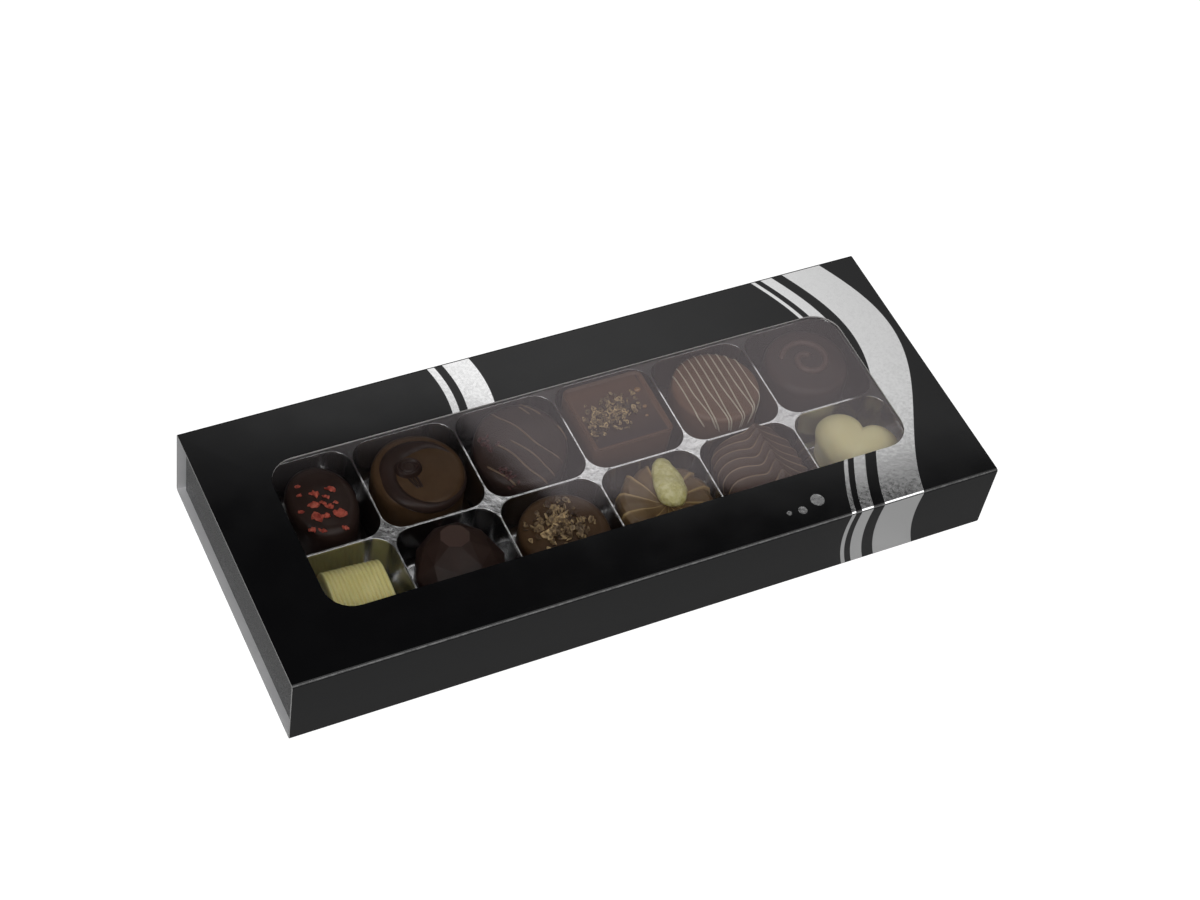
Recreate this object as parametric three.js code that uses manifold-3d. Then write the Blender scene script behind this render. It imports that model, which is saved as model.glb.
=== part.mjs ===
// Box of chocolate pralines: a card sleeve with a film window, a card tray that slides in it,
// a vacuum-formed liner with cells in two rows, and one praline in each cell.
// Millimetres, +X along the box, +Y to its back, +Z up. The origin is the middle of the underside.

import * as THREE from 'three';
import { mergeVertices } from 'three/addons/utils/BufferGeometryUtils.js';
import Module from 'manifold-3d';

const wasm = await Module();
wasm.setup();

// Driving dimensions of the pack
const BOX = { length: 240, width: 99, height: 27.5, card: 0.6, fold: 0.9 };
const WINDOW = { length: 199.6, width: 58.5, radius: 9, x: 0.3 };
const FILM = { thickness: 0.2, overlap: 9 };
const TRAY = { sideGap: 0.4, endRecess: 2.4, floorGap: 0.2, top: 26, corner: 1 };
const LINER = { gap: 0.3, plateTop: 18, plate: 0.5, wall: 0.4, skirt: 0.5, corner: 2 };
const CELL = {
  columns: 6,
  rows: 2,
  pitchX: 35,
  pitchY: 36,
  shiftY: -0.9,
  rib: 1,
  taper: 1.5,
  rimRadius: 6.5,
  floorRadius: 5.6,
};

// Heights that follow from them
const TRAY_BASE = BOX.card + TRAY.floorGap;
const TRAY_FLOOR = TRAY_BASE + BOX.card;
const CELL_FLOOR = TRAY_FLOOR + LINER.wall;
const TRAY_LENGTH = BOX.length - 2 * TRAY.endRecess;
const TRAY_WIDTH = BOX.width - 2 * (BOX.card + TRAY.sideGap);

// Number of straight steps in a rounded corner, and sides of a round praline
const CORNER_STEPS = 4;
const ROUND_SIDES = 22;

// Finishes
const finish = (color, roughness, metalness = 0) => new THREE.MeshStandardMaterial({ color, roughness, metalness });
const FINISH = {
  blackCard: finish(0x1c1c1e, 0.3),
  greyCard: finish(0x4a4c4a, 0.6),
  film: finish(0xdfe4e6, 0.08),
  silverLiner: finish(0xc9cacb, 0.2, 1),
  darkChocolate: finish(0x33201a, 0.35),
  milkChocolate: finish(0x6b4a2f, 0.38),
  whiteChocolate: finish(0xdccf9a, 0.4),
  almond: finish(0xcfc47e, 0.6),
};

// Seeded random numbers from 0 to 1
function randomFrom(seed) {
  let state = seed;
  return () => {
    state = (state + 0x6d2b79f5) | 0;
    let mixed = Math.imul(state ^ (state >>> 15), 1 | state);
    mixed = (mixed + Math.imul(mixed ^ (mixed >>> 7), 61 | mixed)) ^ mixed;
    return ((mixed ^ (mixed >>> 14)) >>> 0) / 4294967296;
  };
}

// Signed volume of an indexed geometry, negative when its faces point inwards
function signedVolume(geometry) {
  const position = geometry.getAttribute('position');
  const corner = [new THREE.Vector3(), new THREE.Vector3(), new THREE.Vector3()];
  let sum = 0;
  for (let i = 0; i < geometry.index.count; i += 3) {
    corner.forEach((point, k) => point.fromBufferAttribute(position, geometry.index.getX(i + k)));
    sum += corner[0].dot(corner[1].clone().cross(corner[2]));
  }
  return sum / 6;
}

// Keeps positions only, merges shared corners, drops flat triangles and turns the faces out
function closed(geometry) {
  const bare = new THREE.BufferGeometry();
  bare.setAttribute('position', geometry.getAttribute('position'));
  if (geometry.index) {
    bare.setIndex(geometry.index);
  }
  const merged = mergeVertices(bare, 1e-3);
  const kept = [];
  for (let i = 0; i < merged.index.count; i += 3) {
    const [a, b, c] = [0, 1, 2].map((k) => merged.index.getX(i + k));
    if (a !== b && b !== c && c !== a) {
      kept.push(a, b, c);
    }
  }
  merged.setIndex(kept);
  if (signedVolume(merged) < 0) {
    merged.setIndex(kept.reverse());
  }
  return merged;
}

function solidOf(geometry) {
  const mesh = closed(geometry);
  return new wasm.Manifold(
    new wasm.Mesh({
      numProp: 3,
      vertProperties: new Float32Array(mesh.getAttribute('position').array),
      triVerts: new Uint32Array(mesh.index.array),
    }),
  );
}

function geometryOf(solid) {
  const mesh = solid.getMesh();
  const geometry = new THREE.BufferGeometry();
  geometry.setAttribute('position', new THREE.BufferAttribute(mesh.vertProperties, 3));
  geometry.setIndex(new THREE.BufferAttribute(mesh.triVerts, 1));
  return geometry;
}

// Joins geometries to a base and takes others away from it
function fused(base, added = [], removed = []) {
  let solid = solidOf(base);
  for (const piece of added) {
    solid = solid.add(solidOf(piece));
  }
  for (const piece of removed) {
    solid = solid.subtract(solidOf(piece));
  }
  return geometryOf(solid);
}

// Outline of a rectangle with round corners, counterclockwise
function roundedRect(length, width, radius, steps = CORNER_STEPS) {
  const points = [];
  const corners = [[1, 1, 0], [-1, 1, 1], [-1, -1, 2], [1, -1, 3]];
  for (const [sideX, sideY, quarter] of corners) {
    for (let step = 0; step <= steps; step += 1) {
      const angle = (quarter + step / steps) * (Math.PI / 2);
      points.push(
        new THREE.Vector2(
          sideX * (length / 2 - radius) + radius * Math.cos(angle),
          sideY * (width / 2 - radius) + radius * Math.sin(angle),
        ),
      );
    }
  }
  return points;
}

// Prism of an outline between two heights, with holes if any
function prism(outline, low, high, holes = []) {
  const shape = new THREE.Shape(outline);
  holes.forEach((hole) => shape.holes.push(new THREE.Path(hole)));
  const geometry = new THREE.ExtrudeGeometry(shape, { depth: high - low, bevelEnabled: false });
  return geometry.translate(0, 0, low);
}

// Skin over a stack of rings with equal counts of points, closed by a fan at each end.
// The pole of an end is its ring's middle, raised by the given bulge.
function loft(rings, bulge = 0) {
  const count = rings[0].length;
  const points = rings.flat();
  const faces = [];
  for (let ring = 0; ring + 1 < rings.length; ring += 1) {
    for (let i = 0; i < count; i += 1) {
      const low = ring * count + i;
      const lowNext = ring * count + ((i + 1) % count);
      faces.push(low, lowNext, lowNext + count, low, lowNext + count, low + count);
    }
  }
  const middle = (ring) => ring.reduce((sum, p) => sum.add(p), new THREE.Vector3()).divideScalar(count);
  const firstPole = points.push(middle(rings[0])) - 1;
  const top = middle(rings.at(-1));
  const lastPole = points.push(top.setZ(top.z + bulge)) - 1;
  const lastStart = (rings.length - 1) * count;
  for (let i = 0; i < count; i += 1) {
    const next = (i + 1) % count;
    faces.push(firstPole, next, i, lastPole, lastStart + i, lastStart + next);
  }
  const geometry = new THREE.BufferGeometry().setFromPoints(points);
  geometry.setIndex(faces);
  return geometry;
}

const ringAt = (outline, height) => outline.map((p) => new THREE.Vector3(p.x, p.y, height));

// Half section of a round praline: a foot, a drafted side, a round shoulder and a crowned top
function halfSection({ radius, height, foot = 1.3, draft = 0.3, shoulder = 3, crown = 1 }) {
  const rim = radius - draft;
  const path = new THREE.Path();
  path.moveTo(0, 0);
  path.lineTo(radius - foot, 0);
  path.quadraticCurveTo(radius, 0, radius, foot);
  path.lineTo(rim, height - crown - shoulder);
  path.quadraticCurveTo(rim, height - crown, rim - shoulder, height - crown);
  path.quadraticCurveTo(rim * 0.4, height, 0, height);
  return path.getPoints(2);
}

function turned(shape) {
  return new THREE.LatheGeometry(halfSection(shape), ROUND_SIDES).rotateX(Math.PI / 2);
}

// Height of a turned praline's top at a distance from its axis
function topHeight(shape, reach) {
  const points = halfSection(shape).reverse();
  const outer = Math.max(points.findIndex((point) => point.x >= reach), 1);
  const [a, b] = [points[outer - 1], points[outer]];
  return a.y + ((b.y - a.y) * (reach - a.x)) / (b.x - a.x);
}

// Ridge of a diamond section along a line of points; reach gives half width and height at each
function ridge(points, reach) {
  const rings = points.map((point, i) => {
    const before = points[Math.max(i - 1, 0)];
    const after = points[Math.min(i + 1, points.length - 1)];
    const along = after.clone().sub(before).setZ(0).normalize();
    const side = new THREE.Vector3(-along.y, along.x, 0);
    const { half, high } = reach(i / (points.length - 1));
    return [
      point.clone().addScaledVector(side, half),
      point.clone().add(new THREE.Vector3(0, 0, high)),
      point.clone().addScaledVector(side, -half),
      point.clone().add(new THREE.Vector3(0, 0, -high)),
    ];
  });
  return loft(rings);
}

// Chip with uneven corners, such as a nib or a flake of dried fruit
function chip(random, size, place) {
  const geometry = closed(new THREE.IcosahedronGeometry(1, 0));
  const position = geometry.getAttribute('position');
  for (let i = 0; i < position.count; i += 1) {
    const uneven = 0.75 + 0.5 * random();
    position.setXYZ(i, position.getX(i) * uneven, position.getY(i) * uneven, position.getZ(i) * uneven);
  }
  geometry.scale(size.x / 2, size.y / 2, size.z / 2);
  geometry.rotateZ(random() * Math.PI);
  return geometry.translate(place.x, place.y, place.z);
}

// Middle of a cell on its floor; row 0 is the back row
function cellPlace(column, row) {
  return new THREE.Vector3(
    (column - (CELL.columns - 1) / 2) * CELL.pitchX,
    CELL.shiftY + (row === 0 ? 0.5 : -0.5) * CELL.pitchY,
    CELL_FLOOR,
  );
}

// Inner outline of a cell at a share of the way from its floor to its rim, grown by an offset
function cellOutline(share, offset = 0) {
  const inset = CELL.taper * (1 - share);
  const radius = CELL.floorRadius + (CELL.rimRadius - CELL.floorRadius) * share;
  return roundedRect(
    CELL.pitchX - CELL.rib - 2 * inset + 2 * offset,
    CELL.pitchY - CELL.rib - 2 * inset + 2 * offset,
    radius + offset,
  );
}

// Card sleeve, open at both ends, with a round-cornered window in its top
function sleeve() {
  const inside = [BOX.width - 2 * BOX.card, BOX.height - 2 * BOX.card];
  const tube = prism(
    roundedRect(BOX.width, BOX.height, BOX.fold, 3),
    -BOX.length / 2,
    BOX.length / 2,
    [roundedRect(...inside, BOX.fold - BOX.card, 3)],
  );
  const alongX = new THREE.Matrix4().makeBasis(
    new THREE.Vector3(0, 1, 0),
    new THREE.Vector3(0, 0, 1),
    new THREE.Vector3(1, 0, 0),
  );
  tube.applyMatrix4(alongX).translate(0, 0, BOX.height / 2);
  const cutter = prism(
    roundedRect(WINDOW.length, WINDOW.width, WINDOW.radius, 7),
    BOX.height - 2 * BOX.card,
    BOX.height + BOX.card,
  ).translate(WINDOW.x, 0, 0);
  return fused(tube, [], [cutter]);
}

// Clear film glued under the top panel round the window
function windowFilm() {
  const top = BOX.height - BOX.card;
  const outline = roundedRect(WINDOW.length + 2 * FILM.overlap, WINDOW.width + 2 * FILM.overlap, 2, 2);
  return prism(outline, top - FILM.thickness, top).translate(WINDOW.x, 0, 0);
}

// Open card tray that slides in the sleeve
function tray() {
  const outer = prism(roundedRect(TRAY_LENGTH, TRAY_WIDTH, TRAY.corner, 2), TRAY_BASE, TRAY.top);
  const inner = prism(
    roundedRect(TRAY_LENGTH - 2 * BOX.card, TRAY_WIDTH - 2 * BOX.card, TRAY.corner - BOX.card, 2),
    TRAY_FLOOR,
    TRAY.top + BOX.card,
  );
  return fused(outer, [], [inner]);
}

// Vacuum-formed liner: a plate with tapered cells hanging from it and a skirt round its edge
function liner() {
  const size = [
    TRAY_LENGTH - 2 * (BOX.card + LINER.gap),
    TRAY_WIDTH - 2 * (BOX.card + LINER.gap),
  ];
  const plateLow = LINER.plateTop - LINER.plate;
  const plate = prism(roundedRect(...size, LINER.corner, 2), plateLow, LINER.plateTop);
  const within = size.map((side) => side - 2 * LINER.skirt);
  const skirt = prism(
    roundedRect(...size, LINER.corner, 2),
    TRAY_FLOOR,
    plateLow + LINER.plate / 2,
    [roundedRect(...within, LINER.corner - LINER.skirt, 2)],
  );
  const depth = LINER.plateTop - CELL_FLOOR;
  const shareAt = (height) => (height - CELL_FLOOR) / depth;
  const cupHeights = [TRAY_FLOOR, plateLow + LINER.plate / 2];
  const hollowHeights = [CELL_FLOOR, LINER.plateTop + LINER.plate];
  const cups = [];
  const hollows = [];
  for (let column = 0; column < CELL.columns; column += 1) {
    for (let row = 0; row < CELL.rows; row += 1) {
      const { x, y } = cellPlace(column, row);
      const cupRings = cupHeights.map((h) => ringAt(cellOutline(shareAt(h), LINER.wall), h));
      const hollowRings = hollowHeights.map((h) => ringAt(cellOutline(shareAt(h)), h));
      cups.push(loft(cupRings).translate(x, y, 0));
      hollows.push(loft(hollowRings).translate(x, y, 0));
    }
  }
  return fused(plate, [skirt, ...cups], hollows);
}

// Dark oval with flakes of dried raspberry on its top
const RASPBERRY_OVAL = { radius: 14.7, squeeze: 0.775, height: 17.6, shoulder: 4, crown: 1.2, flakes: 16 };
function raspberryOval() {
  const { radius, squeeze, height, flakes } = RASPBERRY_OVAL;
  const body = turned(RASPBERRY_OVAL).scale(squeeze, 1, 1);
  const random = randomFrom(11);
  const toppings = [];
  for (let i = 0; i < flakes; i += 1) {
    const across = ((i * 0.618 + 0.15 * random()) % 1) - 0.5;
    const along = (i + 0.5) / flakes - 0.5;
    const x = across * 1.1 * radius * squeeze;
    const y = along * 1.36 * radius;
    const surface = topHeight(RASPBERRY_OVAL, Math.hypot(x / squeeze, y));
    const size = new THREE.Vector3(1.8 + 2.2 * random(), 1.6 + 1.1 * random(), 1.5);
    toppings.push(chip(random, size, new THREE.Vector3(x, y, surface)));
  }
  return fused(body, toppings);
}

// Milk disc with a dark comma swirl that starts thin at the back, widens round the left
// and runs out over the front shoulder. Swirl rows give angle, reach and half width.
const COMMA_DISC = { radius: 15.1, height: 18.2, shoulder: 2.8, crown: 0.5 };
const COMMA_HEAD = { x: -3.1, y: 1, radius: 4.7, rise: 1.5 };
const COMMA_SWIRL = [
  [20, 11.8, 0.5], [45, 10.4, 1.3], [70, 9, 2.2], [100, 8.6, 2.6], [140, 9.3, 2.5], [180, 10, 2.4],
  [215, 11.4, 2.3], [245, 12.8, 2.1], [275, 13.8, 1.7], [305, 14.1, 1.2], [335, 14.1, 0.5],
];
function commaDisc() {
  const { x, y, radius, rise } = COMMA_HEAD;
  const body = turned(COMMA_DISC);
  const points = COMMA_SWIRL.map(([angle, reach]) => {
    const turn = THREE.MathUtils.degToRad(angle);
    const surface = topHeight(COMMA_DISC, reach);
    return new THREE.Vector3(reach * Math.cos(turn), reach * Math.sin(turn), surface);
  });
  const swirl = ridge(points, (share) => {
    const half = COMMA_SWIRL[Math.round(share * (COMMA_SWIRL.length - 1))][2];
    return { half, high: 0.3 + 0.35 * half };
  });
  const head = new THREE.SphereGeometry(1, 14, 8).rotateX(Math.PI / 2);
  head.scale(radius, radius * 0.95, rise).translate(x, y, COMMA_DISC.height - 0.1);
  return fused(body, [swirl, head]);
}

// Dark oval, turned in its cell, with drizzled strands and two patches of fruit flakes.
// Rings give share of height and inset; strands give offset, start and end along their run.
const DRIZZLED_OVAL = { halfLength: 17.1, halfWidth: 14.3, height: 18.6, turn: 60, flakes: 9 };
const DRIZZLE_TURN = 27;
const OVAL_RINGS = [
  [0, -2.8], [0.06, -1.7], [0.45, -0.5], [0.8, 0], [0.92, -0.8], [0.975, -2.4], [0.998, -5.6],
];
const STRANDS = [[3.1, 14.4, -13.6], [-6.3, 5.2, -12.6], [-1.8, 2.5, -14], [11, 9.6, -8.6], [-14.4, 2.6, -5.4]];
const FLAKE_PATCHES = [[-10.4, 3.4], [-9.2, -9.8]];
function drizzledOval() {
  const { halfLength, halfWidth, height, turn, flakes } = DRIZZLED_OVAL;
  const lean = THREE.MathUtils.degToRad(turn);
  const rings = OVAL_RINGS.map(([share, inset]) => {
    const ring = [];
    for (let i = 0; i < ROUND_SIDES; i += 1) {
      const angle = (i / ROUND_SIDES) * 2 * Math.PI;
      const along = (halfLength + inset) * Math.cos(angle);
      ring.push(new THREE.Vector3(along, (halfWidth + inset) * Math.sin(angle), share * height));
    }
    return ring;
  });
  const body = loft(rings, 0.1).rotateZ(lean);
  const surfaceAt = (x, y) => {
    const along = x * Math.cos(lean) + y * Math.sin(lean);
    const across = y * Math.cos(lean) - x * Math.sin(lean);
    const inset = halfWidth * (Math.min(Math.hypot(along / halfLength, across / halfWidth), 1) - 1);
    const outer = OVAL_RINGS.findIndex(([, ringInset], i) => i > 3 && ringInset <= inset);
    if (outer < 0) {
      return height;
    }
    const [[shareA, insetA], [shareB, insetB]] = [OVAL_RINGS[outer - 1], OVAL_RINGS[outer]];
    return height * (shareA + ((shareB - shareA) * (inset - insetA)) / (insetB - insetA));
  };
  const toppings = STRANDS.map(([offset, start, end], strand) => {
    const points = [];
    const slant = THREE.MathUtils.degToRad(DRIZZLE_TURN);
    for (let i = 0; i <= 4; i += 1) {
      const run = start + ((end - start) * i) / 4;
      const across = offset + 0.5 * Math.sin(run * 0.3 + strand);
      const x = across * Math.cos(slant) - run * Math.sin(slant);
      const y = across * Math.sin(slant) + run * Math.cos(slant);
      points.push(new THREE.Vector3(x, y, surfaceAt(x, y)));
    }
    return ridge(points, () => ({ half: 0.45, high: 0.45 }));
  });
  const random = randomFrom(23);
  for (let i = 0; i < flakes; i += 1) {
    const [patchX, patchY] = FLAKE_PATCHES[i % FLAKE_PATCHES.length];
    const x = patchX + 3 * (random() - 0.5);
    const y = patchY + 4.4 * (random() - 0.5);
    const size = new THREE.Vector3(1.7, 1.5, 1.6);
    toppings.push(chip(random, size, new THREE.Vector3(x, y, surfaceAt(x, y))));
  }
  return fused(body, toppings);
}

// Moulded milk square with a raised rim, a sunk top and tan nibs scattered on it
const NIB_SQUARE = { length: 28.5, width: 27.2, height: 18.8, rim: 0.9, sunk: 1.1, nibs: 24, turn: 0.5 };
function nibSquare() {
  const { length, width, height, rim, sunk, nibs, turn } = NIB_SQUARE;
  const levels = [[0, -0.4, 2.4], [0.5, 0, 2.6], [height - 0.4, 0, 2.2], [height, -0.3, 1.9]];
  const topLevels = [[height, -rim, 1.6], [height - sunk, -rim - 0.4, 1.3]];
  const rings = [...levels, ...topLevels].map(([z, grow, radius]) => {
    return ringAt(roundedRect(length + 2 * grow, width + 2 * grow, radius, 4), z);
  });
  const body = loft(rings);
  const random = randomFrom(37);
  const toppings = [];
  for (let i = 0; i < nibs; i += 1) {
    const angle = i * 2.39996;
    const reach = Math.sqrt((i + 0.5) / nibs);
    const x = -1.5 + 10.5 * reach * Math.cos(angle) + random() - 0.5;
    const y = -0.2 + 7.2 * reach * Math.sin(angle) + random() - 0.5;
    const size = new THREE.Vector3(1.2 + 1.5 * random(), 1 + 0.8 * random(), 1.5);
    toppings.push(chip(random, size, new THREE.Vector3(x, y, height - sunk + 0.15)));
  }
  return fused(body, toppings).rotateZ(THREE.MathUtils.degToRad(turn));
}

// Round milk praline with thin cream lines that run over its top and down its side
const STRIPED_DISC = { radius: 15, height: 18.4, draft: 0.3, shoulder: 1.7, crown: 0.8, lines: 10 };
function stripedDisc() {
  const { radius, draft, lines } = STRIPED_DISC;
  const body = turned(STRIPED_DISC);
  const toppings = [];
  const rim = radius - draft;
  for (let line = 0; line < lines; line += 1) {
    const offset = ((line + 0.5) / lines - 0.5) * 1.72 * rim;
    const half = Math.sqrt(rim * rim - offset * offset) * 0.96;
    const points = [];
    for (let i = 0; i <= 4; i += 1) {
      const run = (1 - i / 2) * half;
      const x = offset + 1.2 * Math.sin(run * 0.12 + (line % 2) * 0.7);
      const reach = Math.min(Math.hypot(x, run), rim * 0.985);
      points.push(new THREE.Vector3(x, run, topHeight(STRIPED_DISC, reach)));
    }
    toppings.push(ridge(points, () => ({ half: 0.4, high: 0.4 })));
  }
  return fused(body, toppings);
}

// Dark disc with a piped spiral curl
const CURL_DISC = { radius: 15, height: 18, shoulder: 2.6, crown: 0.4 };
const CURL = { reach: 8.6, turns: 1.35, cord: 1.15 };
function curlDisc() {
  const { height } = CURL_DISC;
  const { reach: curl, turns, cord } = CURL;
  const body = turned(CURL_DISC);
  const steps = 20;
  const points = [];
  for (let i = 0; i <= steps; i += 1) {
    const share = i / steps;
    const angle = 0.6 + share * turns * 2 * Math.PI;
    const reach = 1.6 + (curl - 1.6) * share;
    points.push(new THREE.Vector3(reach * Math.cos(angle), reach * Math.sin(angle), height));
  }
  const cordRidge = ridge(points, (share) => {
    const swell = cord * (0.6 + 0.5 * Math.sin(Math.PI * share));
    return { half: swell, high: swell };
  });
  return fused(body, [cordRidge]);
}

// White loaf with an arched top and fine ribs across it
const RIBBED_LOAF = { length: 19, width: 27, height: 18, ribs: 14, ribDepth: 0.45, power: 0.62, turn: -3 };
function ribbedLoaf() {
  const { length, width, height, ribs, ribDepth, power, turn } = RIBBED_LOAF;
  const arch = (x, grow) => {
    const ring = [];
    for (let i = 0; i <= 12; i += 1) {
      const angle = (i / 12) * Math.PI;
      const y = Math.sign(Math.cos(angle)) * Math.abs(Math.cos(angle)) ** power * (width / 2 + grow);
      const z = Math.sin(angle) ** power * (height + grow);
      ring.push(new THREE.Vector3(x, y, z));
    }
    return ring;
  };
  const rings = [arch(-length / 2, -1.1)];
  const pitch = (length - 1) / ribs;
  for (let rib = 0; rib < ribs; rib += 1) {
    const start = -length / 2 + 0.5 + rib * pitch;
    rings.push(arch(start, -ribDepth), arch(start + pitch / 2, 0));
  }
  rings.push(arch(length / 2 - 0.5, -ribDepth), arch(length / 2, -1.1));
  return loft(rings).rotateZ(THREE.MathUtils.degToRad(turn));
}

// Dark gem with a flat table and rings of facets, its table set off towards the back
const GEM = { sides: 8, table: 4.9, girdle: 14.8, height: 19, leanX: 0.2, leanY: 7.6, slope: 0.1 };
function gem() {
  const { sides, table, girdle, height, leanX, leanY, slope } = GEM;
  const levels = [
    [0, girdle * 0.86, 0],
    [0.2, girdle * 0.97, 0.02],
    [0.62, girdle, 0.15],
    [0.88, girdle * 0.7, 0.62],
    [1, table, 1],
  ];
  const rings = levels.map(([share, radius, lean], level) => {
    const ring = [];
    for (let i = 0; i < sides; i += 1) {
      const angle = (i + (levels.length - 1 - level) / 2) * ((2 * Math.PI) / sides);
      ring.push(
        new THREE.Vector3(
          radius * Math.cos(angle) + lean * leanX,
          radius * Math.sin(angle) + lean * leanY,
          share * height - slope * share ** 4 * radius * Math.sin(angle),
        ),
      );
    }
    return ring;
  });
  return loft(rings);
}

// Milk dome under a heap of cocoa nibs
const NIB_DOME = { radius: 15, height: 18.3, shoulder: 3.8, crown: 1.5, nibs: 25 };
function nibDome() {
  const { nibs } = NIB_DOME;
  const body = turned(NIB_DOME);
  const random = randomFrom(53);
  const toppings = [];
  for (let i = 0; i < nibs; i += 1) {
    const angle = i * 2.39996 + 0.5 * random();
    const reach = Math.sqrt((i + 0.5) / nibs);
    const x = -1.2 + 9.8 * reach * Math.cos(angle);
    const y = 0.8 + 9.8 * reach * Math.sin(angle);
    const size = new THREE.Vector3(2 + 1.8 * random(), 1.6 + 1.2 * random(), 2.4);
    toppings.push(chip(random, size, new THREE.Vector3(x, y, topHeight(NIB_DOME, Math.hypot(x, y)))));
  }
  return fused(body, toppings);
}

// Blanched almond lying on the rosette, its tip to the back
const ALMOND = { length: 18.8, width: 10.8, thickness: 6.2, x: 3, y: 6.2, z: 16.6, turn: -7, pitch: 5, roll: 6 };
const ALMOND_GAP = 0.35;
function almond(grow = 0) {
  const { length, width, thickness, x, y, z, turn, pitch, roll } = ALMOND;
  const rings = 9;
  const outline = [];
  for (let i = 0; i <= rings; i += 1) {
    const share = i / rings;
    const radius = Math.sin(Math.PI * share ** 0.75) ** 0.6 * (width / 2 + grow);
    outline.push(new THREE.Vector2(Math.max(radius, 0), (share - 0.5) * (length + 2 * grow)));
  }
  outline[0].x = 0;
  outline[rings].x = 0;
  const body = new THREE.LatheGeometry(outline, 14);
  body.scale(1, 1, (thickness + 2 * grow) / (width + 2 * grow));
  body.rotateY(THREE.MathUtils.degToRad(roll));
  body.rotateX(THREE.MathUtils.degToRad(pitch));
  body.rotateZ(THREE.MathUtils.degToRad(turn));
  return body.translate(x, y, z);
}

// Piped milk rosette of sharp pleats, hollowed where the almond lies on it
const ROSETTE = { radius: 16.5, height: 17, pleats: 11, pleatSteps: 4, pleatDepth: 1.5, first: 143 };
function rosette() {
  const { radius, height, pleats, pleatSteps, pleatDepth, first } = ROSETTE;
  const levels = [
    [0, 0.78, 0], [0.25, 0.9, 0.5], [0.7, 1, 1], [0.97, 0.92, 1], [0.98, 0.62, 0.8], [0.9, 0.3, 0.4],
  ];
  const count = pleats * pleatSteps;
  const rings = levels.map(([share, reach, depth]) => {
    const ring = [];
    for (let i = 0; i < count; i += 1) {
      const fold = (i % pleatSteps) / pleatSteps;
      const sharp = 1 - fold;
      const angle = THREE.MathUtils.degToRad(first) + (i / count) * 2 * Math.PI;
      const r = radius * reach - pleatDepth * 0.55 * depth * (1 - sharp);
      const z = share * height + pleatDepth * depth * (sharp - 0.75) * (share > 0.5 ? 1 : 0);
      ring.push(new THREE.Vector3(r * Math.cos(angle), r * Math.sin(angle), z));
    }
    return ring;
  });
  return fused(loft(rings, -0.4), [], [almond(ALMOND_GAP)]);
}

// Ribbed mound: wavy layers that sweep back to a smooth crest band along its top
const RIBBED_PEAK = { radius: 15, height: 19.4, side: 17.9, crestX: 2.4, ribs: 12, sweep: 4.6, ribDepth: 0.6 };
function ribbedPeak() {
  const { radius, height, side, crestX, ribs, sweep, ribDepth } = RIBBED_PEAK;
  const across = 12;
  const section = (share, grow) => {
    const along = 2 * share - 1;
    const half = radius * (1 - 0.4 * Math.abs(along) ** 5) + grow;
    const rise = side * (1 - 0.3 * Math.max(-along, 0) ** 4) + grow;
    const ring = [];
    for (let i = 0; i <= across; i += 1) {
      const angle = (i / across) * Math.PI;
      const lift = Math.sin(angle) ** 0.4;
      const foot = 0.9 + 0.1 * Math.min(2.5 * Math.sin(angle), 1);
      const x = -half * foot * Math.sign(Math.cos(angle)) * Math.abs(Math.cos(angle)) ** 0.75;
      const near = Math.exp(-Math.abs(x - crestX) / 3.4) * Math.sin(angle);
      const y = (radius + 0.7) * along * (0.95 + 0.05 * Math.sin(angle)) + sweep * near * (1 - share ** 2);
      ring.push(new THREE.Vector3(x, y, rise * lift + (height - side) * near));
    }
    return ring;
  };
  const rings = [section(0, -1.2)];
  for (let rib = 0; rib < ribs; rib += 1) {
    rings.push(section((rib + 0.2) / (ribs + 0.4), 0));
    rings.push(section((rib + 0.9) / (ribs + 0.4), -ribDepth));
  }
  rings.push(section(1, -1.2));
  return loft(rings);
}

// Puffed white heart, its notch to the back right
const HEART = { size: 0.93, height: 18.9, turn: -43, points: 36 };
function heart() {
  const { size, height, turn, points } = HEART;
  const outline = [];
  for (let i = 0; i < points; i += 1) {
    const t = Math.PI / 2 - (i / points) * 2 * Math.PI;
    const x = -16 * Math.sin(t) ** 3;
    const y = 13 * Math.cos(t) - 4.2 * Math.cos(2 * t) - 1.7 * Math.cos(3 * t) - 0.7 * Math.cos(4 * t);
    outline.push(new THREE.Vector2(x * size, (y + 2.3) * size));
  }
  const levels = [[0, 0.8], [0.1, 0.9], [0.4, 0.97], [0.62, 0.97], [0.82, 0.87], [0.94, 0.68], [0.99, 0.42]];
  const rings = levels.map(([share, scale]) => {
    return outline.map((p) => new THREE.Vector3(p.x * scale, p.y * scale, share * height));
  });
  return loft(rings, 0.01 * height).rotateZ(THREE.MathUtils.degToRad(turn));
}

// Every praline with its cell, its offset in the cell and its finish
const PRALINES = [
  ['raspberry_oval', raspberryOval, 0, 0, 3.2, 0.5, FINISH.darkChocolate],
  ['comma_disc', commaDisc, 1, 0, 0.2, 0.6, FINISH.milkChocolate],
  ['drizzled_oval', drizzledOval, 2, 0, 0, 0, FINISH.darkChocolate],
  ['nib_square', nibSquare, 3, 0, -0.2, 1.2, FINISH.milkChocolate],
  ['striped_disc', stripedDisc, 4, 0, 0.6, 0.6, FINISH.milkChocolate],
  ['curl_disc', curlDisc, 5, 0, 0.4, 0.5, FINISH.darkChocolate],
  ['ribbed_loaf', ribbedLoaf, 0, 1, 1.3, 0.4, FINISH.whiteChocolate],
  ['gem', gem, 1, 1, 0, 0.5, FINISH.darkChocolate],
  ['nib_dome', nibDome, 2, 1, -0.2, 0.9, FINISH.milkChocolate],
  ['rosette', rosette, 3, 1, 0, 0, FINISH.milkChocolate],
  ['ribbed_peak', ribbedPeak, 4, 1, 1.4, 0.3, FINISH.milkChocolate],
  ['heart', heart, 5, 1, -0.7, 0.7, FINISH.whiteChocolate],
];

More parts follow.
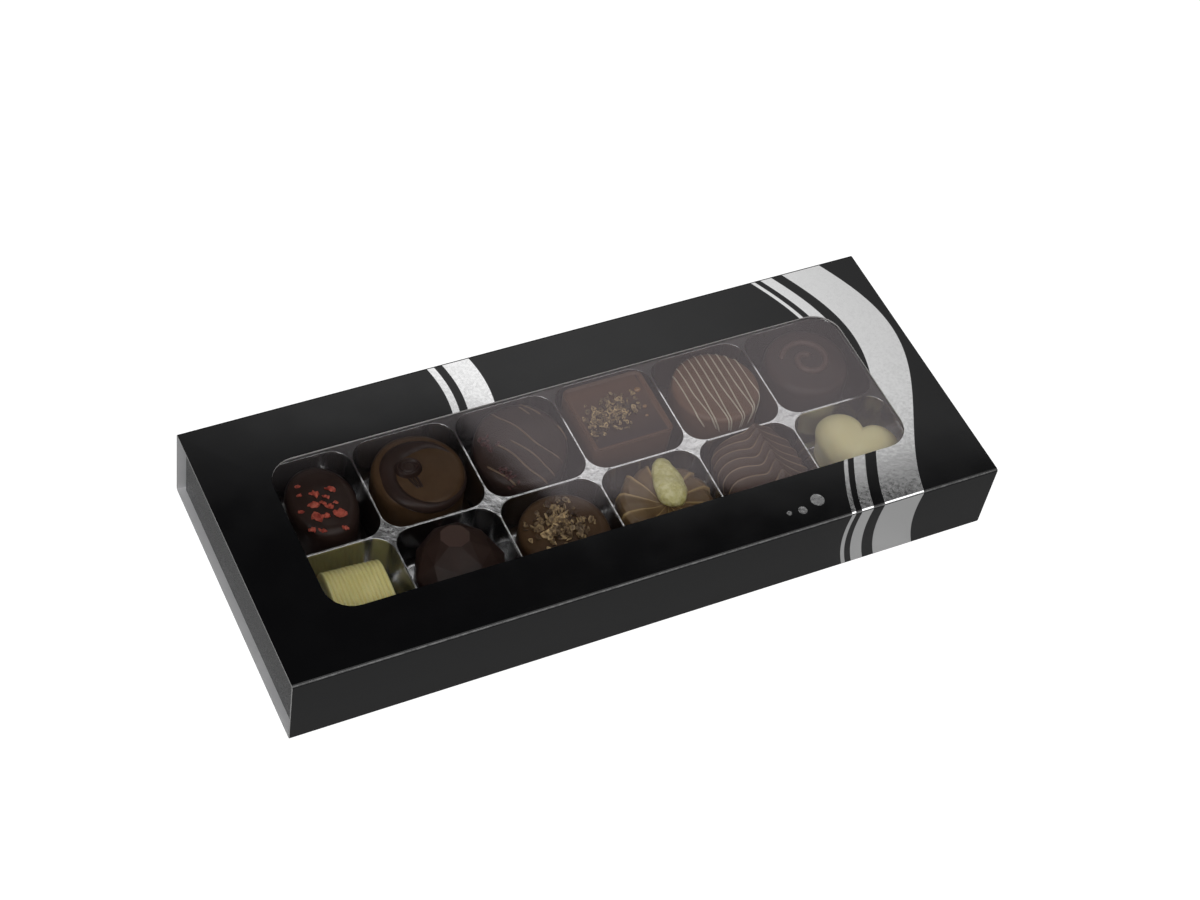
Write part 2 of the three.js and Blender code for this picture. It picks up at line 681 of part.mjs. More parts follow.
function named(name, geometry, material) {
  const mesh = new THREE.Mesh(geometry, material);
  mesh.name = name;
  return mesh;
}

function buildBox() {
  const box = new THREE.Group();
  box.add(named('sleeve', sleeve(), FINISH.blackCard));
  box.add(named('window_film', windowFilm(), FINISH.film));
  box.add(named('tray', tray(), FINISH.greyCard));
  box.add(named('liner', liner(), FINISH.silverLiner));
  for (const [name, shape, column, row, x, y, material] of PRALINES) {
    const praline = named(name, closed(shape()), material);
    praline.position.copy(cellPlace(column, row)).add(new THREE.Vector3(x, y, 0));
    box.add(praline);
    if (shape === rosette) {
      const nut = named('almond', closed(almond()), FINISH.almond);
      nut.position.copy(praline.position);
      box.add(nut);
    }
  }
  return box;
}

export default buildBox();
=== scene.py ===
"""Box of chocolate pralines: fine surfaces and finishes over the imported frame.

A black card sleeve with a film window holds a tray, a silver liner and twelve pralines.
Lengths in the classes are millimetres, and a mesh is brought to metres as it becomes a piece.
"""
import logging
import math
import random
from collections.abc import Callable, Iterable
from dataclasses import dataclass
from enum import Enum
from functools import cached_property

import bmesh
import bpy
from mathutils import Matrix, Vector, noise


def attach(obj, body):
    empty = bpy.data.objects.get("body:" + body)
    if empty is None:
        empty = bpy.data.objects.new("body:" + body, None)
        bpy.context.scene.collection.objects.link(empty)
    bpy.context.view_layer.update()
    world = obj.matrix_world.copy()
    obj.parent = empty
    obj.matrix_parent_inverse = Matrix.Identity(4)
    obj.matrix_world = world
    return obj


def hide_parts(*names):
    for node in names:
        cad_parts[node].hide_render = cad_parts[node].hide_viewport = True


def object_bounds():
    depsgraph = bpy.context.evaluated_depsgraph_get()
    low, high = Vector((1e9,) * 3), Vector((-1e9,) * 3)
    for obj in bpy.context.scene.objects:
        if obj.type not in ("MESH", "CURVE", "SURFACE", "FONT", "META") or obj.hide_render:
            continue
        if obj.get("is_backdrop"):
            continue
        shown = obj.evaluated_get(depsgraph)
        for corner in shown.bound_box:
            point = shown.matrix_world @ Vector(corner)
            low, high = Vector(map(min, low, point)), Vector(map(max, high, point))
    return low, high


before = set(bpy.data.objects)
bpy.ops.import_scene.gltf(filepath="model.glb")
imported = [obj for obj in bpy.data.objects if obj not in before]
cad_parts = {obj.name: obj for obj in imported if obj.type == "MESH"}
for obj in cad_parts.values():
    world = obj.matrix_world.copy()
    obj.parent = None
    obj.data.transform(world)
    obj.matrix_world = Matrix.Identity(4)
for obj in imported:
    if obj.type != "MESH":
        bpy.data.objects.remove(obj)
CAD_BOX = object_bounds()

LOG = logging.getLogger("praline_box")
MM = 0.001
# Mesh layer that holds a share of a finish's accent colour.
TONE = "tone"
# Distance in millimetres within which vertices are merged.
MERGE = 1e-3
# Seed of the noise that moves surfaces, so each run gives the same ones.
WOBBLE_SEED = 5
PlanPoint = tuple[float, float]
Triple = tuple[float, float, float]
Color = Triple


class Body(Enum):
    """Bodies of the frame that pieces ride on."""

    SLEEVE = "sleeve"
    TRAY = "tray"


class Slot(Enum):
    """Material slots."""

    BLACK_CARD = "black_card"
    GREY_CARD = "grey_card"
    SILVER_LINER = "silver_liner"
    DARK = "dark_chocolate"
    MILK = "milk_chocolate"
    WHITE = "white_chocolate"
    ALMOND = "almond"
    RASPBERRY = "raspberry_flakes"
    NIBS = "cocoa_nibs"
    DRIZZLE = "cream_drizzle"


# Mesh helpers


def smooth_step(low: float, high: float, value: float) -> float:
    """Smooth rise from 0 at low to 1 at high."""
    share = min(max((value - low) / (high - low), 0.0), 1.0)
    return share * share * (3 - 2 * share)


def arc_points(start: PlanPoint, control: PlanPoint, end: PlanPoint, steps: int) -> list[PlanPoint]:
    """Points of a quadratic curve after its start.

    Args:
        start: First point, left out of the result.
        control: Point that the curve bends towards.
        end: Last point.
        steps: Number of points.

    Returns:
        The points in order.
    """
    points = []
    for step in range(1, steps + 1):
        t = step / steps
        weights = ((1 - t) ** 2, 2 * t * (1 - t), t * t)
        axes = zip(start, control, end)
        points.append(tuple(sum(w * value for w, value in zip(weights, axis)) for axis in axes))
    return points


def polar(reach: float, angle: float) -> PlanPoint:
    """Plan point at a reach from the middle and an angle in radians."""
    return reach * math.cos(angle), reach * math.sin(angle)


def between(rows: tuple[tuple[float, ...], ...], share: float) -> tuple[float, ...]:
    """Values at a share of the way down a table of rows, mixed from the two nearest rows."""
    run = share * (len(rows) - 1)
    index = min(int(run), len(rows) - 2)
    part = run - index
    return tuple(a + (b - a) * part for a, b in zip(rows[index], rows[index + 1]))


def rounded_rectangle(length: float, width: float, radius: float, steps: int) -> list[PlanPoint]:
    """Outline of a rectangle with round corners, counterclockwise from its right side."""
    points = []
    for side_x, side_y, quarter in ((1, 1, 0), (-1, 1, 1), (-1, -1, 2), (1, -1, 3)):
        for step in range(steps + 1):
            across, up = polar(radius, (quarter + step / steps) * math.pi / 2)
            points.append((side_x * (length / 2 - radius) + across, side_y * (width / 2 - radius) + up))
    return points


def spun(section: list[PlanPoint], sides: int) -> bmesh.types.BMesh:
    """Full turn of a half section about the Z axis.

    Args:
        section: Points as reach and height, from pole to pole.
        sides: Number of steps round the axis.

    Returns:
        A closed shape.
    """
    shape = bmesh.new()
    verts = [shape.verts.new((reach, 0, height)) for reach, height in section]
    edges = [shape.edges.new(pair) for pair in zip(verts, verts[1:])]
    bmesh.ops.spin(
        shape,
        geom=verts + edges,
        axis=(0, 0, 1),
        cent=(0, 0, 0),
        steps=sides,
        angle=2 * math.pi,
        use_merge=True,
    )
    bmesh.ops.remove_doubles(shape, verts=shape.verts, dist=MERGE)
    bmesh.ops.recalc_face_normals(shape, faces=shape.faces)
    return shape


def add_mapped(
    shape: bmesh.types.BMesh,
    columns: int,
    rows: int,
    place: Callable[[float, float], Vector],
    tone: Callable[[float, float], float] | None = None,
) -> None:
    """Adds a grid to a shape and moves it on to a surface.

    Args:
        shape: Shape that takes the grid.
        columns: Number of faces along the first direction.
        rows: Number of faces along the second direction.
        place: Point of the surface for two shares from 0 to 1.
        tone: Tone of the surface for the same shares.
    """
    layer = tone_layer(shape)
    grid = bmesh.ops.create_grid(shape, x_segments=columns, y_segments=rows, size=0.5)
    for vert in grid["verts"]:
        shares = (vert.co.x + 0.5, vert.co.y + 0.5)
        vert.co = place(*shares)
        if tone:
            vert[layer] = tone(*shares)


def mapped(
    columns: int,
    rows: int,
    place: Callable[[float, float], Vector],
    tone: Callable[[float, float], float] | None = None,
) -> bmesh.types.BMesh:
    """Closed shape from one mapped grid, its seam and poles merged and its open rims filled."""
    shape = bmesh.new()
    add_mapped(shape, columns, rows, place, tone)
    bmesh.ops.remove_doubles(shape, verts=shape.verts, dist=MERGE)
    rims = [edge for edge in shape.edges if edge.is_boundary]
    bmesh.ops.holes_fill(shape, edges=rims, sides=0)
    bmesh.ops.recalc_face_normals(shape, faces=shape.faces)
    return shape


def strands(paths: Iterable[list[Vector]], radius: float, end_share: float = 0.45) -> bmesh.types.BMesh:
    """Round cords along lines of points.

    Args:
        paths: Lines of points.
        radius: Radius of a cord.
        end_share: Share of the radius that a cord has at its ends.

    Returns:
        The cords in one shape.
    """
    curve = bpy.data.curves.new("strand_path", "CURVE")
    curve.dimensions = "3D"
    curve.bevel_depth = radius
    curve.bevel_resolution = 2
    curve.use_fill_caps = True
    for path in paths:
        spline = curve.splines.new("POLY")
        spline.points.add(len(path) - 1)
        for index, (point, spot) in enumerate(zip(spline.points, path)):
            point.co = (*spot, 1)
            point.radius = end_share if index in (0, len(path) - 1) else 1
    carrier = bpy.data.objects.new("strand_path", curve)
    mesh = bpy.data.meshes.new_from_object(carrier)
    shape = bmesh.new()
    shape.from_mesh(mesh)
    bpy.data.objects.remove(carrier)
    bpy.data.curves.remove(curve)
    bpy.data.meshes.remove(mesh)
    return shape


def wobble(shape: bmesh.types.BMesh, amount: float, size: float, seed: float) -> None:
    """Moves a shape's vertices by smooth noise, as poured chocolate is never quite even."""
    for vert in shape.verts:
        vert.co += amount * noise.noise_vector(vert.co / size + Vector((seed, seed, seed)))


def rotate(shape: bmesh.types.BMesh, degrees: float, axis: str = "Z") -> None:
    """Turns a shape about an axis through its origin."""
    matrix = Matrix.Rotation(math.radians(degrees), 3, axis)
    bmesh.ops.rotate(shape, verts=shape.verts, cent=(0, 0, 0), matrix=matrix)


def narrow_foot(shape: bmesh.types.BMesh, amount: float, height: float) -> None:
    """Draws a shape in at its foot by a share that fades out at a height."""
    for vert in shape.verts:
        share = 1 - amount * (1 - smooth_step(0, height, vert.co.z))
        vert.co.x *= share
        vert.co.y *= share


def tone_layer(shape: bmesh.types.BMesh) -> bmesh.types.BMLayerItem:
    """Layer of a shape that holds a share from 0 to 1 at each vertex."""
    return shape.verts.layers.float.get(TONE) or shape.verts.layers.float.new(TONE)


def paint(shape: bmesh.types.BMesh, tone: Callable[[Vector], float]) -> None:
    """Stores a tone at each vertex, worked out from its place."""
    layer = tone_layer(shape)
    for vert in shape.verts:
        vert[layer] = tone(vert.co)


def cad_copy(node: str) -> bmesh.types.BMesh:
    """Merged copy of a CAD node in millimetres, its flat faces whole again."""
    shape = bmesh.new()
    shape.from_mesh(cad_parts[node].data)
    bmesh.ops.scale(shape, vec=(1 / MM, 1 / MM, 1 / MM), verts=shape.verts)
    bmesh.ops.remove_doubles(shape, verts=shape.verts, dist=MERGE)
    flat = math.radians(0.5)
    bmesh.ops.dissolve_limit(shape, angle_limit=flat, verts=shape.verts, edges=shape.edges)
    return shape


def round_edges(
    shape: bmesh.types.BMesh, edges: list[bmesh.types.BMEdge], width: float, segments: int
) -> None:
    """Rounds edges of a shape over a width."""
    options = {"affect": "EDGES", "profile": 0.5, "material": -1}
    bmesh.ops.bevel(shape, geom=edges, offset=width, segments=segments, **options)


def bevelled(shape: bmesh.types.BMesh, width: float, segments: int, steepest: float) -> None:
    """Rounds every edge of a shape that turns by more than an angle in degrees."""
    limit = math.radians(steepest)
    edges = [edge for edge in shape.edges if edge.is_manifold and edge.calc_face_angle() > limit]
    round_edges(shape, edges, width, segments)


def settle(
    shape: bmesh.types.BMesh,
    name: str,
    finishes: list[bpy.types.Material],
    body: Body,
    slot: Slot,
    nodes: tuple[str, ...] = (),
    crease: float = 40,
) -> bpy.types.Object:
    """Makes a piece of a shape and fixes it to a body of the frame.

    Args:
        shape: Shape in millimetres, at its place in the box.
        name: Name of the piece.
        finishes: Materials, in the order of the faces' material numbers.
        body: Body that the piece rides on.
        slot: Slot that its finish comes from; not used.
        nodes: CAD nodes that the piece stands for.
        crease: Angle in degrees past which an edge is shown sharp.

    Returns:
        The piece.
    """
    bmesh.ops.scale(shape, vec=(MM, MM, MM), verts=shape.verts)
    mesh = bpy.data.meshes.new(name)
    shape.to_mesh(mesh)
    shape.free()
    for finish in finishes:
        mesh.materials.append(finish)
    mesh.shade_smooth()
    mesh.set_sharp_from_angle(angle=math.radians(crease))
    piece = bpy.data.objects.new(name, mesh)
    bpy.context.scene.collection.objects.link(piece)
    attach(piece, body.value)
    if nodes:
        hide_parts(*nodes)
    LOG.info("%s: %d faces", name, len(mesh.polygons))
    return piece


def even_faces(piece: bpy.types.Object) -> None:
    """Shades a piece's large faces flat, so only its narrow folds look round."""
    even = piece.modifiers.new("even_faces", "WEIGHTED_NORMAL")
    even.keep_sharp = True


# Finishes


class Shading:
    """Node tree of a material or group, with short calls that add and link nodes."""

    def __init__(self, tree: bpy.types.NodeTree) -> None:
        self.tree = tree

    def feed(self, socket: bpy.types.NodeSocket, value: object) -> None:
        """Links a socket to another one, or sets its plain value."""
        if isinstance(value, bpy.types.NodeSocket):
            self.tree.links.new(value, socket)
        elif socket.type == "RGBA":
            socket.default_value = (*value, 1)
        else:
            socket.default_value = value

    def feed_all(self, node: bpy.types.Node, inputs: dict[str, object]) -> None:
        """Links or sets inputs of a node, by name."""
        for name, value in inputs.items():
            self.feed(node.inputs[name], value)

    def add(
        self, kind: str, inputs: dict[str, object] | None = None, **settings: object
    ) -> bpy.types.Node:
        """Adds a node.

        Args:
            kind: Node type without its ShaderNode prefix.
            inputs: Values or sockets for its inputs, by name.
            **settings: Settings of the node.

        Returns:
            The node.
        """
        node = self.tree.nodes.new("ShaderNode" + kind)
        for name, value in settings.items():
            setattr(node, name, value)
        self.feed_all(node, inputs or {})
        return node

    def split(self, vector: bpy.types.NodeSocket) -> tuple[bpy.types.NodeSocket, ...]:
        """X, Y and Z of a vector."""
        return tuple(self.add("SeparateXYZ", {"Vector": vector}).outputs)

    def math(self, operation: str, *values: object) -> bpy.types.NodeSocket:
        """Result of a Math node on one, two or three values or sockets."""
        node = self.add("Math", operation=operation)
        for socket, value in zip(node.inputs, values):
            self.feed(socket, value)
        return node.outputs[0]

    def rise(self, value: object, low: float, high: float) -> bpy.types.NodeSocket:
        """Smooth rise from 0 at low to 1 at high."""
        inputs = {"Value": value, "From Min": low, "From Max": high}
        return self.add("MapRange", inputs, interpolation_type="SMOOTHSTEP").outputs["Result"]

    def span(self, value: object, low: float, high: float) -> bpy.types.NodeSocket:
        """Share from 0 to 1 turned into a value from low to high."""
        return self.add("MapRange", {"Value": value, "To Min": low, "To Max": high}).outputs["Result"]

    def mix(self, factor: object, first: object, second: object) -> bpy.types.NodeSocket:
        """Mix of two colours."""
        node = self.add("Mix", data_type="RGBA")
        for index, value in ((0, factor), (6, first), (7, second)):
            self.feed(node.inputs[index], value)
        return node.outputs[2]

    def noise(self, vector: object, size: float, detail: float = 2) -> bpy.types.NodeSocket:
        """Noise with features of a size in millimetres."""
        inputs = {"Vector": vector, "Scale": 1 / (size * MM), "Detail": detail}
        return self.add("TexNoise", inputs).outputs["Fac"]

    def bump(self, height: object, distance: float) -> bpy.types.NodeSocket:
        """Normal from a height, with its distance in millimetres."""
        return self.add("Bump", {"Height": height, "Distance": distance * MM}).outputs["Normal"]


def new_group(
    name: str, inputs: dict[str, str], outputs: dict[str, str]
) -> tuple[Shading, bpy.types.Node, bpy.types.Node]:
    """Empty shader group with named sockets.

    Args:
        name: Name of the group.
        inputs: Input names and their socket kinds.
        outputs: Output names and their socket kinds.

    Returns:
        The calls that fill the group, the node that gives its inputs and the one that takes its outputs.
    """
    group = bpy.data.node_groups.new(name, "ShaderNodeTree")
    for direction, sockets in (("INPUT", inputs), ("OUTPUT", outputs)):
        for socket, kind in sockets.items():
            group.interface.new_socket(socket, in_out=direction, socket_type="NodeSocket" + kind)
    return Shading(group), group.nodes.new("NodeGroupInput"), group.nodes.new("NodeGroupOutput")


def mottle_group() -> bpy.types.NodeTree:
    """Group that gives soft blotches and fine grain, each from 0 to 1."""
    sizes = {"Vector": "Vector", "Blotches": "Float", "Grains": "Float"}
    nodes, source, target = new_group("mottle", sizes, {"Cloud": "Float", "Grain": "Float"})
    for socket, scale, detail in (("Cloud", "Blotches", 3), ("Grain", "Grains", 4)):
        inputs = {"Vector": source.outputs["Vector"], "Scale": source.outputs[scale], "Detail": detail}
        value = nodes.add("TexNoise", inputs).outputs["Fac"]
        nodes.feed(target.inputs[socket], nodes.rise(value, 0.32, 0.68))
    return nodes.tree


@dataclass(frozen=True)
class Ribbon:
    """Sinuous ribbon on the unfolded card.

    It has a middle, a half width, a sway, the length and start of a wave, and the least place
    across the box that it reaches.
    """

    middle: float
    half: float
    sway: float
    wave: float
    start: float
    least: float


@dataclass(frozen=True)
class Dot:
    """Round dot on the unfolded card: its place along and across the box, and its radius."""

    along: float
    across: float
    radius: float


RIBBONS = (
    Ribbon(middle=97, half=7.2, sway=13, wave=24, start=0.9, least=-90),
    Ribbon(middle=83.6, half=2.1, sway=13, wave=24, start=0.9, least=-90),
    Ribbon(middle=78.6, half=0.7, sway=13, wave=24, start=0.9, least=-90),
    Ribbon(middle=-34, half=4.6, sway=8, wave=19, start=-0.4, least=0),
    Ribbon(middle=-42.6, half=1.2, sway=8, wave=19, start=-0.4, least=0),
)
DOTS = (Dot(58, -40.5, 2.2), Dot(51.6, -42.6, 1.4), Dot(47, -42.2, 0.8))
# Half width in millimetres of the soft edge of a printed shape.
PRINT_EDGE = 0.06
# Height in millimetres below which the card's underside is left without print.
PRINT_FOOT = 0.3


def ribbon_group() -> bpy.types.NodeTree:
    """Group that masks the silver ribbons on the card's outside.

    The top and the two long sides are read as one unfolded sheet, so a ribbon runs over a fold.
    """
    nodes, source, target = new_group(
        "silver_ribbons", {"Vector": "Vector", "Height": "Float"}, {"Mask": "Float"}
    )
    inputs = {"Vector": source.outputs["Vector"], "Scale": 1 / MM}
    x, y, z = nodes.split(nodes.add("VectorMath", inputs, operation="SCALE").outputs[0])
    fall = nodes.math("SUBTRACT", source.outputs["Height"], z)
    unfolded = nodes.math("MULTIPLY_ADD", nodes.math("SIGN", y), fall, y)
    shapes = []
    for ribbon in RIBBONS:
        turn = nodes.math("MULTIPLY_ADD", unfolded, 1 / ribbon.wave, ribbon.start)
        middle = nodes.math("MULTIPLY_ADD", nodes.math("SINE", turn), ribbon.sway, ribbon.middle)
        reach = nodes.math("ABSOLUTE", nodes.math("SUBTRACT", x, middle))
        shapes.append((ribbon.half, reach, nodes.math("GREATER_THAN", unfolded, ribbon.least)))
    for dot in DOTS:
        aside = nodes.math("POWER", nodes.math("SUBTRACT", x, dot.along), 2)
        across = nodes.math("POWER", nodes.math("SUBTRACT", unfolded, dot.across), 2)
        shapes.append((dot.radius, nodes.math("SQRT", nodes.math("ADD", aside, across)), 1.0))
    mask = 0.0
    for half, reach, shown in shapes:
        inside = nodes.rise(nodes.math("SUBTRACT", half, reach), -PRINT_EDGE, PRINT_EDGE)
        mask = nodes.math("MAXIMUM", mask, nodes.math("MULTIPLY", inside, shown))
    above = nodes.math("GREATER_THAN", z, PRINT_FOOT)
    nodes.feed(target.inputs["Mask"], nodes.math("MULTIPLY", mask, above))
    return nodes.tree


@dataclass(frozen=True)
class Groups:
    """Node groups that the finishes share."""

    mottle: bpy.types.NodeTree
    ribbons: bpy.types.NodeTree


def new_material(name: str) -> tuple[bpy.types.Material, Shading, bpy.types.Node, bpy.types.NodeSocket]:
    """Empty node material.

    Args:
        name: Name of the material.

    Returns:
        The material, its nodes, its Principled node and its object coordinates.
    """
    material = bpy.data.materials.new(name)
    material.use_nodes = True
    nodes = Shading(material.node_tree)
    surface = material.node_tree.nodes["Principled BSDF"]
    coordinates = nodes.add("TexCoord").outputs["Object"]
    return material, nodes, surface, coordinates


def mottled(
    nodes: Shading, groups: Groups, coordinates: bpy.types.NodeSocket, blotch: float, grain: float
) -> tuple[bpy.types.NodeSocket, bpy.types.NodeSocket]:
    """Blotches and grain of sizes in millimetres, each from 0 to 1."""
    node = nodes.add("Group", node_tree=groups.mottle)
    scales = {"Blotches": 1 / (blotch * MM), "Grains": 1 / (grain * MM)}
    nodes.feed_all(node, {"Vector": coordinates, **scales})
    return node.outputs["Cloud"], node.outputs["Grain"]


@dataclass(frozen=True)
class PlainFinish:
    """Finish of one colour range with grain: card, chocolate, nuts and dried fruit.

    The accent colour shows where a piece's painted tone is 1.
    """

    name: str
    color: Color
    blotch_color: Color
    accent: Color = (0.5, 0.5, 0.5)
    roughness: float = 0.4
    spread: float = 0.12
    blotch: float = 6
    grain: float = 0.5
    relief: float = 0.04
    specular: float = 0.5
    subsurface: float = 0
    coat: float = 0

    def build(self, groups: Groups) -> bpy.types.Material:
        """Makes the material.

        Args:
            groups: Shared node groups.

        Returns:
            The material.
        """
        material, nodes, surface, coordinates = new_material(self.name)
        cloud, grain = mottled(nodes, groups, coordinates, self.blotch, self.grain)
        tone = nodes.add("Attribute", attribute_name=TONE).outputs["Fac"]
        color = nodes.mix(cloud, self.color, self.blotch_color)
        half = self.spread / 2
        inputs = {
            "Base Color": nodes.mix(tone, color, self.accent),
            "Roughness": nodes.span(grain, self.roughness - half, self.roughness + half),
            "Normal": nodes.bump(grain, self.relief),
            "Specular IOR Level": self.specular,
            "Subsurface Weight": self.subsurface,
            "Subsurface Radius": (1.0, 0.6, 0.3),
            "Subsurface Scale": 1.5 * MM,
            "Coat Weight": self.coat,
            "Coat Roughness": 0.15,
        }
        nodes.feed_all(surface, inputs)
        return material


@dataclass(frozen=True)
class SleeveFinish:
    """Black laminated card with silver ribbons stamped on it, its long top folds painted a lighter grey:
    partly wear, partly a painted highlight.
    """

    name: str = "laminated_card"
    card: Color = (0.0055, 0.0055, 0.006)
    silver: Color = (0.99, 0.99, 0.99)
    scuff_and_sheen: Color = (0.24, 0.24, 0.24)
    blotch: float = 14
    grain: float = 0.9
    fold_side: PlanPoint = (48.9, 49.1)
    fold_drop: PlanPoint = (0.5, 0.3)
    fold_patch_size: float = 1.4
    least_fold_patch: float = 0.55
    card_roughness: PlanPoint = (0.1, 0.14)
    foil_roughness: PlanPoint = (0.1, 0.17)
    peel_size: float = 1.6
    card_peel: float = 0.0015
    foil_peel: float = 0.004
    wave_size: float = 26
    waves: float = 0.06

    def fold_wear_and_sheen(
        self, nodes: Shading, coordinates: bpy.types.NodeSocket, height: float
    ) -> bpy.types.NodeSocket:
        """Share of the lighter grey on the long top folds of a box of a height: partly wear, partly a
        painted highlight.
        """
        _, y, z = nodes.split(coordinates)
        near_side = nodes.rise(nodes.math("ABSOLUTE", y), *(MM * side for side in self.fold_side))
        near_top = nodes.rise(z, *(MM * (height - drop) for drop in self.fold_drop))
        uneven = nodes.rise(nodes.noise(coordinates, self.fold_patch_size, 5), 0.35, 0.65)
        fold_patch = nodes.span(uneven, self.least_fold_patch, 1.0)
        return nodes.math("MULTIPLY", nodes.math("MULTIPLY", near_side, near_top), fold_patch)

    def build(self, groups: Groups, height: float) -> bpy.types.Material:
        """Makes the material.

        Args:
            groups: Shared node groups.
            height: Height of the box in millimetres, where its top folds lie.

        Returns:
            The material.
        """
        material, nodes, surface, coordinates = new_material(self.name)
        cloud, grain = mottled(nodes, groups, coordinates, self.blotch, self.grain)
        ribbons = nodes.add("Group", node_tree=groups.ribbons)
        nodes.feed_all(ribbons, {"Vector": coordinates, "Height": height})
        foil = ribbons.outputs["Mask"]
        # Painted highlight and wear: the long top folds take a lighter grey than the card.
        color = nodes.mix(self.fold_wear_and_sheen(nodes, coordinates, height), self.card, self.scuff_and_sheen)
        rough = nodes.add("Mix", {"Factor": foil}, data_type="FLOAT")
        nodes.feed(rough.inputs[2], nodes.span(cloud, *self.card_roughness))
        nodes.feed(rough.inputs[3], nodes.span(grain, *self.foil_roughness))
        peel = nodes.math("MULTIPLY_ADD", foil, self.foil_peel, self.card_peel)
        peel_height = nodes.math("MULTIPLY", nodes.noise(coordinates, self.peel_size, 3), peel)
        wave = nodes.noise(coordinates, self.wave_size, 1)
        total = nodes.math("MULTIPLY_ADD", wave, self.waves, peel_height)
        inputs = {
            "Base Color": nodes.mix(foil, color, self.silver),
            "Metallic": foil,
            "Roughness": rough.outputs[0],
            "Normal": nodes.bump(total, 1),
            "Specular IOR Level": 0.4,
        }
        nodes.feed_all(surface, inputs)
        return material


@dataclass(frozen=True)
class FilmFinish:
    """Clear film: mostly clear, with the mirror of a glossy sheet on the side that is looked at, its mirror
    share painted stronger towards +X as a painted reflection.
    """

    name: str = "clear_film"
    ior: float = 1.75
    wave_size: float = 22
    waves: float = 0.05
    clear: Color = (0.985, 0.985, 0.985)
    tint: Color = (1.0, 0.9, 0.93)
    reflection_boost_from: float = 40
    reflection_boost_to: float = 90
    reflection_boost: float = 1.6

    def build(self) -> bpy.types.Material:
        """Makes the material."""
        material, nodes, surface, coordinates = new_material(self.name)
        normal = nodes.bump(nodes.noise(coordinates, self.wave_size, 1), self.waves)
        inputs = {"Base Color": self.tint, "Metallic": 1, "Roughness": 0.06, "Normal": normal}
        nodes.feed_all(surface, inputs)
        clear = nodes.add("BsdfTransparent", {"Color": self.clear})
        mirror = nodes.add("Fresnel", {"IOR": self.ior, "Normal": normal}).outputs[0]
        inside = nodes.add("NewGeometry").outputs["Backfacing"]
        # Painted reflection: the mirror share grows towards +X, so that the reflected veil is brighter on
        # the right.
        boost_share = nodes.rise(nodes.split(coordinates)[0], self.reflection_boost_from * MM, self.reflection_boost_to * MM)
        share = nodes.math("MULTIPLY", mirror, nodes.span(boost_share, 1.0, self.reflection_boost))
        sheet = nodes.add(
            "MixShader", {"Fac": nodes.math("MULTIPLY", share, nodes.math("SUBTRACT", 1.0, inside))}
        )
        nodes.feed(sheet.inputs[1], clear.outputs[0])
        nodes.feed(sheet.inputs[2], surface.outputs[0])
        nodes.feed(material.node_tree.nodes["Material Output"].inputs["Surface"], sheet.outputs[0])
        return material


@dataclass(frozen=True)
class LinerFinish:
    """Metallised plastic that mirrors what stands in its cells, crumpled a little on its flat top, its cell
    walls painted a darker grey as painted shade.
    """

    name: str = "metallised_plastic"
    silver: Color = (0.96, 0.96, 0.965)
    dull: Color = (0.88, 0.88, 0.89)
    painted_wall_shade: Color = (0.58, 0.58, 0.585)
    wall_top: float = 16.9
    flat_foot: float = 17.9
    streak_size: float = 3.2
    streaks: float = 0.045
    stretch: float = 0.12
    crumple_size: float = 4.5
    crumple: float = 0.12
    fine: float = 0.002

    def build(self, groups: Groups) -> bpy.types.Material:
        """Makes the material."""
        material, nodes, surface, coordinates = new_material(self.name)
        cloud, grain = mottled(nodes, groups, coordinates, 7, 0.6)
        flat = nodes.rise(nodes.split(coordinates)[2], self.wall_top * MM, self.flat_foot * MM)
        silver = nodes.mix(cloud, self.silver, self.dull)
        drawn = nodes.add("Mapping", {"Vector": coordinates, "Scale": (1, 1, self.stretch)}).outputs[0]
        fine = nodes.math("MULTIPLY", grain, self.fine)
        relief = nodes.math("MULTIPLY_ADD", nodes.noise(drawn, self.streak_size, 1), self.streaks, fine)
        crumpled = nodes.span(flat, 0.0, self.crumple)
        crumple = nodes.math("MULTIPLY", nodes.noise(coordinates, self.crumple_size, 2), crumpled)
        inputs = {
            # Painted shade: the cell walls take a darker grey than the flat top, which dims what they
            # mirror.
            "Base Color": nodes.mix(flat, self.painted_wall_shade, silver),
            "Metallic": 1,
            "Roughness": nodes.span(grain, 0.15, 0.24),
            "Normal": nodes.bump(nodes.math("ADD", relief, crumple), 1),
        }
        nodes.feed_all(surface, inputs)
        return material


# Its accent colour is a painted highlight, on the piped curl and on the gem's top facet.
DARK = PlainFinish(
    "dark_chocolate",
    (0.027, 0.015, 0.012),
    (0.034, 0.019, 0.015),
    (0.085, 0.05, 0.04),
    0.36,
    relief=0.002,
    specular=0.22,
)
MILK = PlainFinish(
    "milk_chocolate",
    (0.066, 0.035, 0.016),
    (0.078, 0.043, 0.021),
    (0.27, 0.14, 0.07),
    0.4,
    relief=0.002,
    specular=0.22,
)
ROSY_MILK = PlainFinish(
    "rosy_milk_chocolate",
    (0.13, 0.066, 0.036),
    (0.15, 0.078, 0.045),
    (0.2, 0.1, 0.055),
    0.42,
    relief=0.003,
    specular=0.35,
)
# Its lighter accent is a painted highlight on the raised rim and sides of the nib square.
SUNK_TOP = PlainFinish(
    "sunk_top_chocolate",
    (0.024, 0.012, 0.01),
    (0.032, 0.016, 0.013),
    (0.115, 0.057, 0.032),
    0.42,
    relief=0.003,
    specular=0.3,
)
# Its accent colour is a painted highlight along the ribbed mound's ridges.
DARK_MILK = PlainFinish(
    "dark_milk_chocolate",
    (0.062, 0.034, 0.022),
    (0.078, 0.042, 0.027),
    (0.32, 0.22, 0.14),
    0.4,
    relief=0.003,
    specular=0.3,
)
